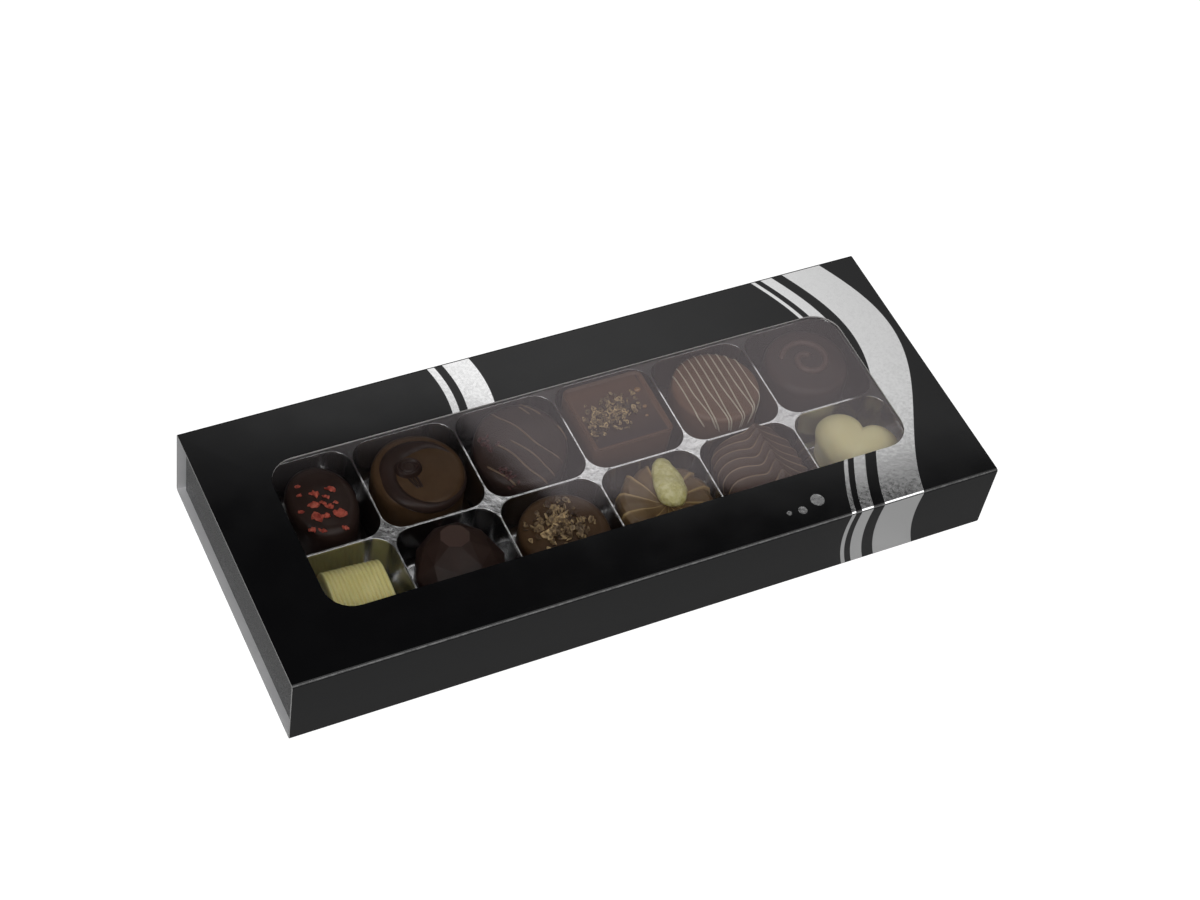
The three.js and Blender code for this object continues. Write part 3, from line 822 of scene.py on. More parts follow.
# Its accent colour is a painted highlight along the rosette's crests.
TAN = PlainFinish(
    "piped_milk_chocolate",
    (0.12, 0.071, 0.028),
    (0.155, 0.093, 0.038),
    (0.38, 0.26, 0.11),
    0.36,
    relief=0.003,
    specular=0.35,
)
WHITE = PlainFinish(
    "white_chocolate",
    (0.78, 0.71, 0.31),
    (0.82, 0.75, 0.36),
    (0.86, 0.8, 0.5),
    0.5,
    relief=0.006,
    subsurface=0.12,
)
IVORY = PlainFinish(
    "ivory_chocolate",
    (0.82, 0.74, 0.4),
    (0.85, 0.78, 0.45),
    (0.86, 0.8, 0.5),
    0.42,
    relief=0.003,
    subsurface=0.12,
)
ALMOND_SKIN = PlainFinish(
    "blanched_almond",
    (0.56, 0.51, 0.17),
    (0.74, 0.69, 0.34),
    roughness=0.34,
    blotch=1.6,
    grain=0.9,
    relief=0.12,
    coat=0.3,
)
RASPBERRY = PlainFinish(
    "dried_raspberry",
    (0.3, 0.026, 0.018),
    (0.52, 0.085, 0.05),
    (0.68, 0.17, 0.11),
    roughness=0.6,
    blotch=1.2,
    relief=0.1,
)
DARK_FRUIT = PlainFinish(
    "dark_dried_fruit",
    (0.028, 0.007, 0.007),
    (0.06, 0.012, 0.011),
    (0.09, 0.019, 0.016),
    roughness=0.5,
    blotch=1.2,
    relief=0.1,
)
# Its pale accent is a painted highlight on the rims of the shards.
NIBS = PlainFinish(
    "cocoa_nibs",
    (0.035, 0.017, 0.009),
    (0.09, 0.05, 0.024),
    (0.9, 0.65, 0.34),
    0.55,
    blotch=1.5,
    grain=0.35,
    relief=0.05,
)
CREAM = PlainFinish("cream_drizzle", (0.46, 0.4, 0.32), (0.52, 0.46, 0.37), roughness=0.4, relief=0.005)
TAN_DRIZZLE = PlainFinish(
    "tan_drizzle", (0.12, 0.072, 0.038), (0.16, 0.1, 0.053), roughness=0.4, relief=0.005
)
CARAMEL = PlainFinish("caramel_drop", (0.25, 0.13, 0.05), (0.3, 0.16, 0.06), roughness=0.3, coat=0.3)
CARD_EDGE = PlainFinish("cut_card_edge", (0.5, 0.5, 0.49), (0.6, 0.6, 0.59), roughness=0.8, grain=0.3)
CARD_INSIDE = PlainFinish(
    "card_inside", (0.72, 0.72, 0.73), (0.78, 0.78, 0.79), roughness=0.5, blotch=20, relief=0.005
)
TRAY_CARD = PlainFinish(
    "tray_card", (0.05, 0.05, 0.05), (0.06, 0.06, 0.06), roughness=0.3, blotch=20, relief=0.004, specular=0.7
)


class Finishes:
    """Every finish of the box, each made when it is first asked for."""

    def __init__(self) -> None:
        self.groups = Groups(mottle_group(), ribbon_group())
        self.made: dict[str, bpy.types.Material] = {}

    def plain(self, finish: PlainFinish) -> bpy.types.Material:
        """Material of a plain finish."""
        if finish.name not in self.made:
            self.made[finish.name] = finish.build(self.groups)
        return self.made[finish.name]


# The pack


@dataclass
class Pack:
    """Card sleeve, its film and the card tray. Lengths are those of the frame's solids."""

    finishes: Finishes
    height: float = 27.5
    card: float = 0.6
    fold_blend: float = 0.12
    window_reach: float = 40

    def face_kind(self, face: bmesh.types.BMFace) -> int:
        """Material number of a sleeve face: 0 outside, 1 inside, 2 cut edge."""
        middle = face.calc_center_median()
        normal = face.normal
        in_top = self.height - self.card < middle.z < self.height
        in_window = in_top and abs(normal.z) < 0.1
        at_end = abs(normal.x) > 0.9 and not in_window
        if at_end or (in_window and abs(middle.y) < self.window_reach):
            return 2
        outwards = normal.y * middle.y + normal.z * (middle.z - self.height / 2)
        return 0 if outwards > 0 else 1

    def sleeve(self) -> None:
        """Sleeve with black outside, pale inside and pale cut edges."""
        shape = cad_copy("sleeve")
        for face in shape.faces:
            face.material_index = self.face_kind(face)
        materials = [
            SleeveFinish().build(self.finishes.groups, self.height),
            self.finishes.plain(CARD_INSIDE),
            self.finishes.plain(CARD_EDGE),
        ]
        even_faces(
            settle(shape, "sleeve_card", materials, Body.SLEEVE, Slot.BLACK_CARD, ("sleeve",), 35)
        )

    def film(self) -> None:
        """Clear film under the window, which keeps its CAD solid."""
        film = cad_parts["window_film"]
        film.data.materials.clear()
        film.data.materials.append(FilmFinish().build())

    def tray(self) -> None:
        """Tray with softly rounded card edges."""
        shape = cad_copy("tray")
        bevelled(shape, self.fold_blend, 2, 60)
        finish = self.finishes.plain(TRAY_CARD)
        even_faces(settle(shape, "tray_card", [finish], Body.TRAY, Slot.GREY_CARD, ("tray",), 50))

    def build(self) -> None:
        """Makes the pieces of the pack."""
        self.sleeve()
        self.film()
        self.tray()


@dataclass
class Cells:
    """Places and sizes of the liner's cells."""

    columns: int = 6
    rows: int = 2
    pitch_x: float = 35
    pitch_y: float = 36
    shift_y: float = -0.9
    floor: float = 1.8
    rib: float = 1
    taper: float = 1.5
    rim_radius: float = 6.5
    floor_radius: float = 5.6

    def middle(self, column: int, row: int) -> Vector:
        """Middle of a cell on its floor; row 0 is the back row."""
        x = (column - (self.columns - 1) / 2) * self.pitch_x
        y = self.shift_y + (0.5 - row) * self.pitch_y
        return Vector((x, y, self.floor))

    def outline(self, share: float, offset: float, steps: int) -> list[PlanPoint]:
        """Outline of a cell at a share of its depth from floor to rim, grown by an offset."""
        inset = self.taper * (1 - share)
        radius = self.floor_radius + (self.rim_radius - self.floor_radius) * share
        length = self.pitch_x - self.rib - 2 * inset + 2 * offset
        width = self.pitch_y - self.rib - 2 * inset + 2 * offset
        return rounded_rectangle(length, width, max(radius + offset, 0.2), steps)


@dataclass
class Liner:
    """Formed silver liner: a plate, round rims, tapered cells with round floors and a skirt."""

    finishes: Finishes
    cells: Cells
    top: float = 18
    plate: PlanPoint = (233.4, 95.2)
    corner: float = 2
    rim: float = 0.13
    ease: float = 0.17
    floor_bend: float = 2.2
    wall: float = 0.25
    corner_steps: int = 12
    rim_steps: int = 4
    wall_steps: int = 5
    floor_inset: float = 8
    skirt_low: float = 2.2

    def stations(self) -> list[PlanPoint]:
        """Offset and height of the rings of a cell, from its rim to near its middle."""
        rings = []
        for step in range(self.rim_steps + 1):
            angle = step / self.rim_steps * math.pi / 2
            rings.append((self.rim * (1 - math.sin(angle)), self.top - self.rim * (1 - math.cos(angle))))
        high, low = self.top - self.rim, self.cells.floor + self.floor_bend
        shares = [step / self.wall_steps for step in range(1, self.wall_steps + 1)]
        rings += [(0.0, high + (low - high) * share) for share in shares]
        for share in shares:
            inset, depth = (self.floor_bend * (1 - value) for value in polar(1, share * math.pi / 2))
            rings.append((-inset, self.cells.floor + depth))
        rings.append((-self.floor_inset, self.cells.floor))
        return rings

    def ring(self, offset: float, height: float) -> list[PlanPoint]:
        """Outline of a ring of a cell."""
        share = (height - self.cells.floor) / (self.top - self.cells.floor)
        return self.cells.outline(share, offset + self.ease, self.corner_steps)

    def cell(self, shape: bmesh.types.BMesh, middle: Vector) -> None:
        """Adds one cell's skin to a shape, from its rim to its floor."""
        stations = self.stations()
        rings = [self.ring(offset, height) for offset, height in stations]
        count = len(rings[0])

        def place(round_share: float, down_share: float) -> Vector:
            """Point of the cell for shares round it and down it."""
            step = round(down_share * len(rings))
            if step == len(rings):
                return Vector((middle.x, middle.y, self.cells.floor))
            x, y = rings[step][round(round_share * count) % count]
            return Vector((middle.x + x, middle.y + y, stations[step][1]))

        add_mapped(shape, count, len(rings), place)

    def build(self) -> None:
        """Makes the liner."""
        shape = bmesh.new()
        for column in range(self.cells.columns):
            for row in range(self.cells.rows):
                self.cell(shape, self.cells.middle(column, row))
        bmesh.ops.remove_doubles(shape, verts=shape.verts, dist=MERGE)
        outline = rounded_rectangle(*self.plate, self.corner, 4)
        verts = [shape.verts.new((x, y, self.top)) for x, y in outline]
        border = [shape.edges.new(pair) for pair in zip(verts, verts[1:] + verts[:1])]
        rims = [edge for edge in shape.edges if edge.is_boundary]
        bmesh.ops.triangle_fill(shape, use_beauty=True, edges=rims + border, normal=(0, 0, 1))
        skirt = bmesh.ops.extrude_edge_only(shape, edges=border)
        low = [item for item in skirt["geom"] if isinstance(item, bmesh.types.BMVert)]
        bmesh.ops.translate(shape, verts=low, vec=(0, 0, self.skirt_low - self.top))
        bmesh.ops.recalc_face_normals(shape, faces=shape.faces)
        plate = max(shape.faces, key=lambda face: face.calc_center_median().z)
        if plate.normal.z < 0:
            bmesh.ops.reverse_faces(shape, faces=shape.faces)
        finish = LinerFinish().build(self.finishes.groups)
        piece = settle(shape, "formed_liner", [finish], Body.TRAY, Slot.SILVER_LINER, ("liner",), 40)
        skin = piece.modifiers.new("skin", "SOLIDIFY")
        skin.thickness = self.wall * MM
        skin.offset = -1
        even_faces(piece)


# The pralines


@dataclass(frozen=True)
class Turned:
    """Round praline body with a foot, a drafted side, a round shoulder and a crowned top.

    It may be stretched along X and then turned in plan.
    """

    radius: float
    height: float
    shoulder: float = 3
    crown: float = 1
    foot: float = 1.3
    draft: float = 0.3
    stretch: float = 1
    turn: float = 0
    top_rings: int = 40
    sides: int = 96

    @cached_property
    def section(self) -> list[PlanPoint]:
        """Half section as reach and height, from the top's middle to the underside's middle."""
        rim = self.radius - self.draft
        edge = self.height - self.crown
        curves = (
            ((rim * 0.4, self.height), (rim - self.shoulder, edge), self.top_rings),
            ((rim, edge), (rim, edge - self.shoulder), 10),
            ((self.radius - self.draft / 2, edge / 2), (self.radius, self.foot), 8),
            ((self.radius, 0), (self.radius - self.foot, 0), 5),
        )
        points = [(0.0, self.height)]
        for control, end, steps in curves:
            points += arc_points(points[-1], control, end, steps)
        points.append((0.0, 0.0))
        return points

    def shell(self) -> bmesh.types.BMesh:
        """Closed body."""
        shape = spun(self.section, self.sides)
        for vert in shape.verts:
            vert.co.x *= self.stretch
        rotate(shape, self.turn)
        return shape

    def skin(self, x: float, y: float) -> Vector:
        """Point on the body whose way over the skin from the top's middle leads through x, y.

        Args:
            x: Plan coordinate, measured over the skin.
            y: Plan coordinate, measured over the skin.

        Returns:
            The point. Past the rim it runs on down the side.
        """
        turn = math.radians(self.turn)
        along = (x * math.cos(turn) + y * math.sin(turn)) / self.stretch
        across = y * math.cos(turn) - x * math.sin(turn)
        left = math.hypot(along, across)
        heading = math.atan2(across, along)
        reach, height = self.section[0]
        for start, end in zip(self.section, self.section[1:]):
            step = math.dist(start, end)
            if left <= step:
                share = left / step
                reach = start[0] + (end[0] - start[0]) * share
                height = start[1] + (end[1] - start[1]) * share
                break
            left -= step
            reach, height = end
        along = reach * math.cos(heading) * self.stretch
        across = reach * math.sin(heading)
        return Vector(
            (
                along * math.cos(turn) - across * math.sin(turn),
                along * math.sin(turn) + across * math.cos(turn),
                height,
            )
        )


@dataclass
class Chips:
    """Scattered nibs or flakes with uneven corners."""

    rng: random.Random
    size: tuple[PlanPoint, PlanPoint, PlanPoint]
    facets: int = 1
    unevenness: float = 0.3
    lean: float = 0.6

    def add(self, shape: bmesh.types.BMesh, spot: Vector, scale: float = 1) -> None:
        """Adds a chip to a shape.

        Args:
            shape: Shape that takes the chip.
            spot: Middle of the chip.
            scale: Share of its usual size.
        """
        half = [scale * self.rng.uniform(*bounds) / 2 for bounds in self.size]
        angles = [self.rng.uniform(-self.lean, self.lean) for _ in "XY"]
        angles.append(self.rng.uniform(0, math.pi))
        matrix = Matrix.Translation(spot)
        for angle, axis in zip(angles, "XYZ"):
            matrix = matrix @ Matrix.Rotation(angle, 4, axis)
        matrix = matrix @ Matrix.Diagonal((*half, 1))
        layer = tone_layer(shape)
        made = bmesh.ops.create_icosphere(shape, subdivisions=self.facets, radius=1, matrix=matrix)
        for vert in made["verts"]:
            vert.co = spot + (vert.co - spot) * self.rng.uniform(1 - self.unevenness, 1 + self.unevenness)
            vert[layer] = self.rng.random() ** 2


@dataclass
class Shards:
    """Thin cupped shards of roasted bean, painted pale at their rims as a painted highlight and dark inside
    as painted shade.
    """

    rng: random.Random
    radius: PlanPoint = (0.6, 1.5)
    thickness: float = 0.28
    cup: PlanPoint = (-0.5, 0.7)
    tilt: float = 1.2
    sides: int = 6

    def add(self, shape: bmesh.types.BMesh, spot: Vector, scale: float = 1) -> None:
        """Adds a shard to a shape.

        Args:
            shape: Shape that takes the shard.
            spot: Middle of the shard.
            scale: Share of its usual size.
        """
        radius = scale * self.rng.uniform(*self.radius)
        layer = tone_layer(shape)
        made = bmesh.ops.create_cone(
            shape,
            cap_ends=True,
            cap_tris=True,
            segments=self.sides,
            radius1=radius,
            radius2=radius * 0.9,
            depth=self.thickness,
        )
        painted_rim_light = self.rng.random() ** 1.2
        cup = self.rng.uniform(*self.cup) * radius
        stretch = self.rng.uniform(0.4, 1)
        turn = (
            Matrix.Rotation(self.rng.uniform(0, 2 * math.pi), 3, "Z")
            @ Matrix.Rotation(self.rng.uniform(-self.tilt, self.tilt), 3, "X")
            @ Matrix.Rotation(self.rng.uniform(0, 2 * math.pi), 3, "Z")
        )
        for vert in made["verts"]:
            reach = math.hypot(vert.co.x, vert.co.y) / radius
            # Painted highlight and shade: the rims take the pale accent, by a random share for each shard,
            # and the cupped middles stay dark.
            vert[layer] = painted_rim_light * smooth_step(0.3, 0.9, reach) * self.rng.uniform(0.2, 1)
            vert.co *= self.rng.uniform(0.5, 1.35)
            vert.co.z += cup * reach * reach
            vert.co.y *= stretch
            vert.co = spot + turn @ vert.co


@dataclass
class Praline:
    """A praline in its cell: its node, its place in the liner and its offset in the cell."""

    finishes: Finishes
    cells: Cells
    node: str
    column: int
    row: int
    shift: PlanPoint
    turn: float = 0

    def put_body(
        self, shape: bmesh.types.BMesh, finish: PlainFinish, slot: Slot, ripple: Triple, crease: float = 40
    ) -> None:
        """Makes a shape this praline's body, wobbled by an amount, a size and a seed."""
        wobble(shape, *ripple)
        self.put(shape, self.node + "_body", finish, slot, crease)

    def put(
        self,
        shape: bmesh.types.BMesh,
        name: str,
        finish: PlainFinish,
        slot: Slot,
        crease: float = 40,
        nodes: tuple[str, ...] | None = None,
    ) -> bpy.types.Object:
        """Turns a shape, sets it in the cell and makes it a piece of this praline.

        Args:
            shape: Shape in millimetres about the praline's own foot.
            name: Name of the piece.
            finish: Its finish.
            slot: Slot that the finish comes from.
            crease: Angle in degrees past which an edge is shown sharp.
            nodes: CAD nodes that it stands for, if not this praline's own.

        Returns:
            The piece.
        """
        rotate(shape, self.turn)
        place = self.cells.middle(self.column, self.row) + Vector((*self.shift, 0))
        bmesh.ops.translate(shape, verts=shape.verts, vec=place)
        material = self.finishes.plain(finish)
        stands_for = (self.node,) if nodes is None else nodes
        return settle(shape, name, [material], Body.TRAY, slot, stands_for, crease)

    def build(self) -> None:
        """Makes the pieces of the praline."""
        raise NotImplementedError


@dataclass
class RaspberryOval(Praline):
    """Dark oval with coral flakes of dried raspberry."""

    body: Turned = Turned(14.7, 17.6, shoulder=4, crown=1.2, stretch=0.775)
    flakes: tuple[Triple, ...] = (
        (-5.7, 7.0, 1.3),
        (-6.4, 3.4, 1.2),
        (3.3, 2.1, 2.1),
        (-2.0, 1.8, 2.1),
        (1.0, -0.4, 1.6),
        (-3.6, -2.0, 2.4),
        (-0.9, -2.2, 1.5),
        (0.7, -4.1, 2.0),
        (-4.0, -6.4, 2.9),
        (-1.3, -7.0, 1.5),
        (2.9, -7.3, 2.8),
        (3.1, -3.3, 1.2),
        (-8.1, -2.6, 1.3),
        (2.8, -12.4, 1.8),
        (-4.2, -11.3, 1.9),
        (-7.1, -9.7, 1.9),
    )

    def build(self) -> None:
        """Makes the body and its flakes."""
        self.put_body(self.body.shell(), DARK, Slot.DARK, (0.25, 9, 3))
        chips = Chips(random.Random(11), ((0.9, 1.5), (0.6, 1.1), (0.5, 0.8)), unevenness=0.35)
        toppings = bmesh.new()
        for x, y, size in self.flakes:
            for aside, share in ((0.0, 1.1), (0.35, 0.8), (-0.4, 0.7)):
                spot = self.body.skin(x + aside * size, y - 0.5 * aside * size)
                chips.add(toppings, spot + Vector((0, 0, 0.25 * share)), size * share)
        self.put(toppings, "raspberry_flakes", RASPBERRY, Slot.RASPBERRY, 30)


@dataclass
class CommaDisc(Praline):
    """Milk disc with a dark comma swirl, whose head has a groove round it and drips below it."""

    body: Turned = Turned(15.1, 18.2, shoulder=2.8, crown=0.5)
    head: PlanPoint = (-3.1, 1.0)
    head_radius: float = 4.7
    head_lift: float = 0.15
    head_squeeze: float = 0.86
    ring: Triple = (3.5, 0.75, 1.25)
    middle_rise: float = 0.75
    band_rise: float = 0.95
    full_half: float = 1.6
    sunk: float = 0.12
    drip_radius: float = 0.45
    stations: tuple[Triple, ...] = (
        (14, 12.4, 0.2),
        (30, 11.4, 0.9),
        (50, 10.3, 1.6),
        (72, 9.0, 2.5),
        (100, 8.6, 3.0),
        (140, 9.3, 2.9),
        (180, 10.0, 2.8),
        (210, 11.6, 2.7),
        (236, 13.4, 2.5),
        (262, 15.2, 2.3),
        (288, 16.3, 2.0),
        (314, 16.6, 1.5),
        (340, 16.4, 0.8),
        (356, 16.2, 0.2),
    )

    def swirl(self) -> bmesh.types.BMesh:
        """Band that lies on the skin, thickest along its middle."""

        def place(share: float, across: float) -> Vector:
            """Point of the band for shares along and across it."""
            degrees, reach, half = between(self.stations, share)
            angle = math.radians(degrees)
            side = 2 * across - 1
            radial = reach + half * side
            spot = self.body.skin(*polar(radial, angle))
            inner = self.body.skin(*polar(0.97 * radial, angle))
            outwards = Vector((spot.x, spot.y, 0)).normalized()
            along = (spot - inner).normalized()
            normal = Vector((-along.z * outwards.x, -along.z * outwards.y, along.dot(outwards)))
            thickness = min(half, self.full_half) / self.full_half
            rise = self.band_rise * (1 - abs(side) ** 2.4) * thickness - self.sunk
            return spot + rise * normal

        return mapped(150, 16, place)

    def knob(self) -> bmesh.types.BMesh:
        """Round head of the comma: a ring, a groove in it and a soft middle."""
        ring_reach, ring_half, ring_rise = self.ring
        section = [(0.0, self.middle_rise)]
        for step in range(1, 25):
            reach = self.head_radius * step / 24
            ring = ring_rise * math.exp(-(((reach - ring_reach) / ring_half) ** 2))
            middle = self.middle_rise * (1 - smooth_step(1.6, 2.9, reach))
            edge = 1 - smooth_step(3.9, self.head_radius, reach)
            section.append((reach, (self.sunk + ring + middle) * edge - 0.4 * (1 - edge)))
        section.append((0.0, -0.6))
        shape = spun(section, 64)
        for vert in shape.verts:
            vert.co.y *= self.head_squeeze
        top = self.body.skin(*self.head)
        bmesh.ops.translate(shape, verts=shape.verts, vec=top + Vector((0, 0, self.head_lift)))
        return shape

    def drips(self) -> bmesh.types.BMesh:
        """Three short runs below the head, each nearer to the swirl's end than the last."""
        paths = []
        for drip in range(3):
            x = self.head[0] - 1.5 + drip * 1.3
            slant = 0.28 - 0.1 * drip
            path = [self.body.skin(x + slant * step, -2.4 - 0.8 * step) for step in range(7)]
            paths.append([point - Vector((0, 0, 0.05 * step)) for step, point in enumerate(path)])
        return strands(paths, self.drip_radius)

    def build(self) -> None:
        """Makes the body, the swirl, its head and the drips."""
        self.put_body(self.body.shell(), MILK, Slot.MILK, (0.22, 9, 7))
        self.put(self.swirl(), "comma_swirl", DARK, Slot.DARK, 60)
        self.put(self.knob(), "comma_head", DARK, Slot.DARK, 60)
        self.put(self.drips(), "comma_drips", DARK, Slot.DARK, 60)


@dataclass
class DrizzledOval(Praline):
    """Dark oval, turned in its cell, with thin tan strands and patches of dark fruit."""

    body: Turned = Turned(15.3, 18.6, shoulder=3.6, crown=0.9, draft=0, stretch=17.2 / 15.3, turn=60)
    slant: float = 27
    rows: tuple[Triple, ...] = (
        (3.1, 16.0, -14.6),
        (-6.3, 5.2, -17.0),
        (-1.8, 2.6, -16.4),
        (10.6, 9.8, 5.2),
        (13.0, 11.0, 2.6),
        (13.6, -3.8, -10.0),
        (-14.4, 1.8, -9.5),
    )
    patches: tuple[PlanPoint, ...] = ((-10.4, 3.4), (-9.2, -10.4))
    flakes: int = 34
    foot_taper: float = 0.13
    taper_height: float = 9
    strand_radius: float = 0.33

    def strand(self, row: int) -> list[Vector]:
        """Line of a strand over the skin, a little wavy."""
        offset, start, end = self.rows[row]
        slant = math.radians(self.slant)
        path = []
        for step in range(15):
            run = start + (end - start) * step / 14
            across = offset + 0.45 * math.sin(run * 0.35 + row * 1.7)
            x = across * math.cos(slant) - run * math.sin(slant)
            y = across * math.sin(slant) + run * math.cos(slant)
            path.append(self.body.skin(x, y))
        return path

    def build(self) -> None:
        """Makes the body, its strands and its fruit."""
        shape = self.body.shell()
        narrow_foot(shape, self.foot_taper, self.taper_height)
        self.put_body(shape, DARK, Slot.DARK, (0.3, 10, 12))
        lines = strands([self.strand(row) for row in range(len(self.rows))], self.strand_radius)
        self.put(lines, "tan_strands", TAN_DRIZZLE, Slot.DRIZZLE, 60)
        rng = random.Random(23)
        chips = Chips(rng, ((0.9, 2.1), (0.7, 1.4), (0.7, 1.2)), facets=2, unevenness=0.25)
        fruit = bmesh.new()
        for flake in range(self.flakes):
            patch = self.patches[flake % len(self.patches)]
            spot = self.body.skin(patch[0] + rng.gauss(0, 1.3), patch[1] + rng.gauss(0, 1.9))
            chips.add(fruit, spot)
        self.put(fruit, "dark_fruit_flakes", DARK_FRUIT, Slot.RASPBERRY, 50)


@dataclass
class NibSquare(Praline):
    """Moulded milk square with a raised rim, a sunk top, tan nibs and drops of caramel."""

    length: float = 28.5
    width: float = 27.2
    height: float = 18.8
    rim: float = 1.1
    sunk: float = 0.9
    bend: float = 0.5
    corner: float = 2.6
    edge: float = 0.42
    foot_taper: float = 0.03
    nibs: int = 220
    nib_size: float = 0.8
    nib_middle: PlanPoint = (-2.6, -0.6)
    drops: tuple[Triple, ...] = ((10.2, 6.2, 1.15), (9.4, -1.0, 0.8), (8.4, -4.6, 0.6))

    def body(self) -> bmesh.types.BMesh:
        """Square block with round edges, its top inset and sunk."""
        shape = bmesh.new()
        bmesh.ops.create_cube(shape, size=1)
        bmesh.ops.scale(shape, vec=(self.length, self.width, self.height), verts=shape.verts)
        bmesh.ops.translate(shape, verts=shape.verts, vec=(0, 0, self.height / 2))
        upright = [edge for edge in shape.edges if abs(edge.verts[0].co.z - edge.verts[1].co.z) > 1]
        round_edges(shape, upright, self.corner, 8)
        top = max(shape.faces, key=lambda face: face.calc_center_median().z)
        bmesh.ops.inset_region(shape, faces=[top], thickness=self.rim)
        bmesh.ops.translate(shape, verts=list(top.verts), vec=(0, 0, -self.sunk))
        bmesh.ops.inset_region(shape, faces=[top], thickness=self.bend)
        bevelled(shape, self.edge, 4, 55)
        narrow_foot(shape, self.foot_taper, self.height * 0.5)
        return shape

    def scattered(self, floor: float) -> bmesh.types.BMesh:
        """Nibs scattered over the sunk top, which lies at a height."""
        rng = random.Random(37)
        shards = Shards(rng, tilt=0.7)
        nibs = bmesh.new()
        for _ in range(self.nibs):
            spread = Vector((rng.gauss(0, 4.9), rng.gauss(0, 3.1)))
            x = self.nib_middle[0] + max(min(spread.x, 10.5), -9)
            y = self.nib_middle[1] + max(min(spread.y, 7.5), -7.5) + 0.25 * spread.x
            shards.add(nibs, Vector((x, y, floor + rng.uniform(0.2, 0.8))), self.nib_size)
        return nibs

    def build(self) -> None:
        """Makes the block, its nibs and its drops."""
        shape = self.body()
        margin = self.rim + 0.6
        floor = self.height - self.sunk

        def sunk_top(spot: Vector) -> float:
            """Zero on the sunk top, which keeps the darker base colour, and 1 elsewhere, where the lighter
            accent is a painted highlight on the raised rim and sides.
            """
            aside = abs(spot.x) < self.length / 2 - margin and abs(spot.y) < self.width / 2 - margin
            return 0.0 if aside and spot.z > floor - 0.2 else 1.0

        # Painted highlight: the rim and sides take the lighter accent and the sunk top stays darker.
        paint(shape, sunk_top)
        self.put(shape, "nib_square_body", SUNK_TOP, Slot.MILK, 30)
        self.put(self.scattered(floor), "tan_nibs", NIBS, Slot.NIBS, 25)
        drops = bmesh.new()
        for x, y, radius in self.drops:
            matrix = Matrix.Translation((x, y, floor + 0.1)) @ Matrix.Diagonal((1, 0.85, 0.5, 1))
            bmesh.ops.create_uvsphere(drops, u_segments=20, v_segments=12, radius=radius, matrix=matrix)
        self.put(drops, "caramel_drops", CARAMEL, Slot.DRIZZLE)


@dataclass
class StripedDisc(Praline):
    """Round milk praline with thin cream lines that run over its top and down its side."""

    body: Turned = Turned(15, 18.4, shoulder=1.9, crown=0.8)
    lines: int = 10
    spread: float = 26
    least_half: float = 3
    line_radius: float = 0.27

    def line(self, index: int) -> list[Vector]:
        """Cream line over the praline from back to front, drawn towards its neighbour at the front."""
        start = ((index + 0.5) / self.lines - 0.5) * self.spread
        end = (start + (0.85 if index % 2 else -0.85)) * 0.95 + 0.6
        half = math.sqrt(max((self.body.radius + 0.1) ** 2 - start**2, self.least_half**2))
        path = []
        for step in range(33):
            share = step / 32
            bend = smooth_step(0.4, 0.85, share)
            x = start + (end - start) * bend + 0.2 * math.sin(share * 5 + index * 0.4)
            path.append(self.body.skin(x, half + 0.4 - (2 * half + 5) * share))
        return path

    def build(self) -> None:
        """Makes the body and its lines."""
        self.put_body(self.body.shell(), ROSY_MILK, Slot.MILK, (0.22, 9, 21))
        lines = strands([self.line(index) for index in range(self.lines)], self.line_radius)
        self.put(lines, "cream_lines", CREAM, Slot.DRIZZLE, 60)


@dataclass
class CurlDisc(Praline):
    """Dark disc with a low piped curl, the curl painted lighter as a painted highlight."""

    body: Turned = Turned(14.5, 18, shoulder=2.6, crown=0.4)
    start: float = 1.6
    reach: float = 8.8
    turns: float = 1.35
    cord: float = 1.15
    lift: float = 0.15

    def build(self) -> None:
        """Makes the body and its curl."""
        self.put_body(self.body.shell(), DARK, Slot.DARK, (0.22, 9, 31))
        path = []
        for step in range(73):
            share = step / 72
            angle = 0.6 + share * self.turns * 2 * math.pi
            spot = self.body.skin(*polar(self.start + (self.reach - self.start) * share, angle))
            path.append(spot + Vector((0, 0, self.lift)))
        cord = strands([path], self.cord)
        # Painted highlight: the whole cord takes the lighter accent colour.
        paint(cord, lambda _: 1.0)
        self.put(cord, "piped_curl", DARK, Slot.DARK, 60)


@dataclass
class RibbedLoaf(Praline):
    """White loaf with an arched top and fine ribs across it."""

    length: float = 19
    width: float = 27
    height: float = 18
    ribs: int = 14
    rib_depth: float = 0.55
    power: float = 0.6
    body: float = 0.95
    end_round: float = 0.3

    def place(self, share: float, round_share: float) -> Vector:
        """Point of the loaf for shares along it and over its arch."""
        run = 2 * share - 1
        along = min(abs(run) / self.body, 1)
        close = max((abs(run) - self.body) / (1 - self.body), 0)
        x = math.copysign(self.length / 2 * along, run)
        groove = 1 - abs(math.sin((along * math.copysign(1, run) + 1) * self.ribs * math.pi / 2))
        depth = self.rib_depth * groove**1.3 + self.end_round * smooth_step(0.97, 1, along)
        cos, sin = polar(1, round_share * math.pi)
        sin = max(sin, 0)
        y = math.copysign(abs(cos) ** self.power, cos) * (self.width / 2 - depth) * (1 - close)
        z = sin**self.power * (self.height - depth) * (1 - close) + 0.4 * self.height * close
        return Vector((x, y, z))

    def build(self) -> None:
        """Makes the loaf."""
        self.put_body(mapped(240, 64, self.place), WHITE, Slot.WHITE, (0.18, 8, 41), 50)


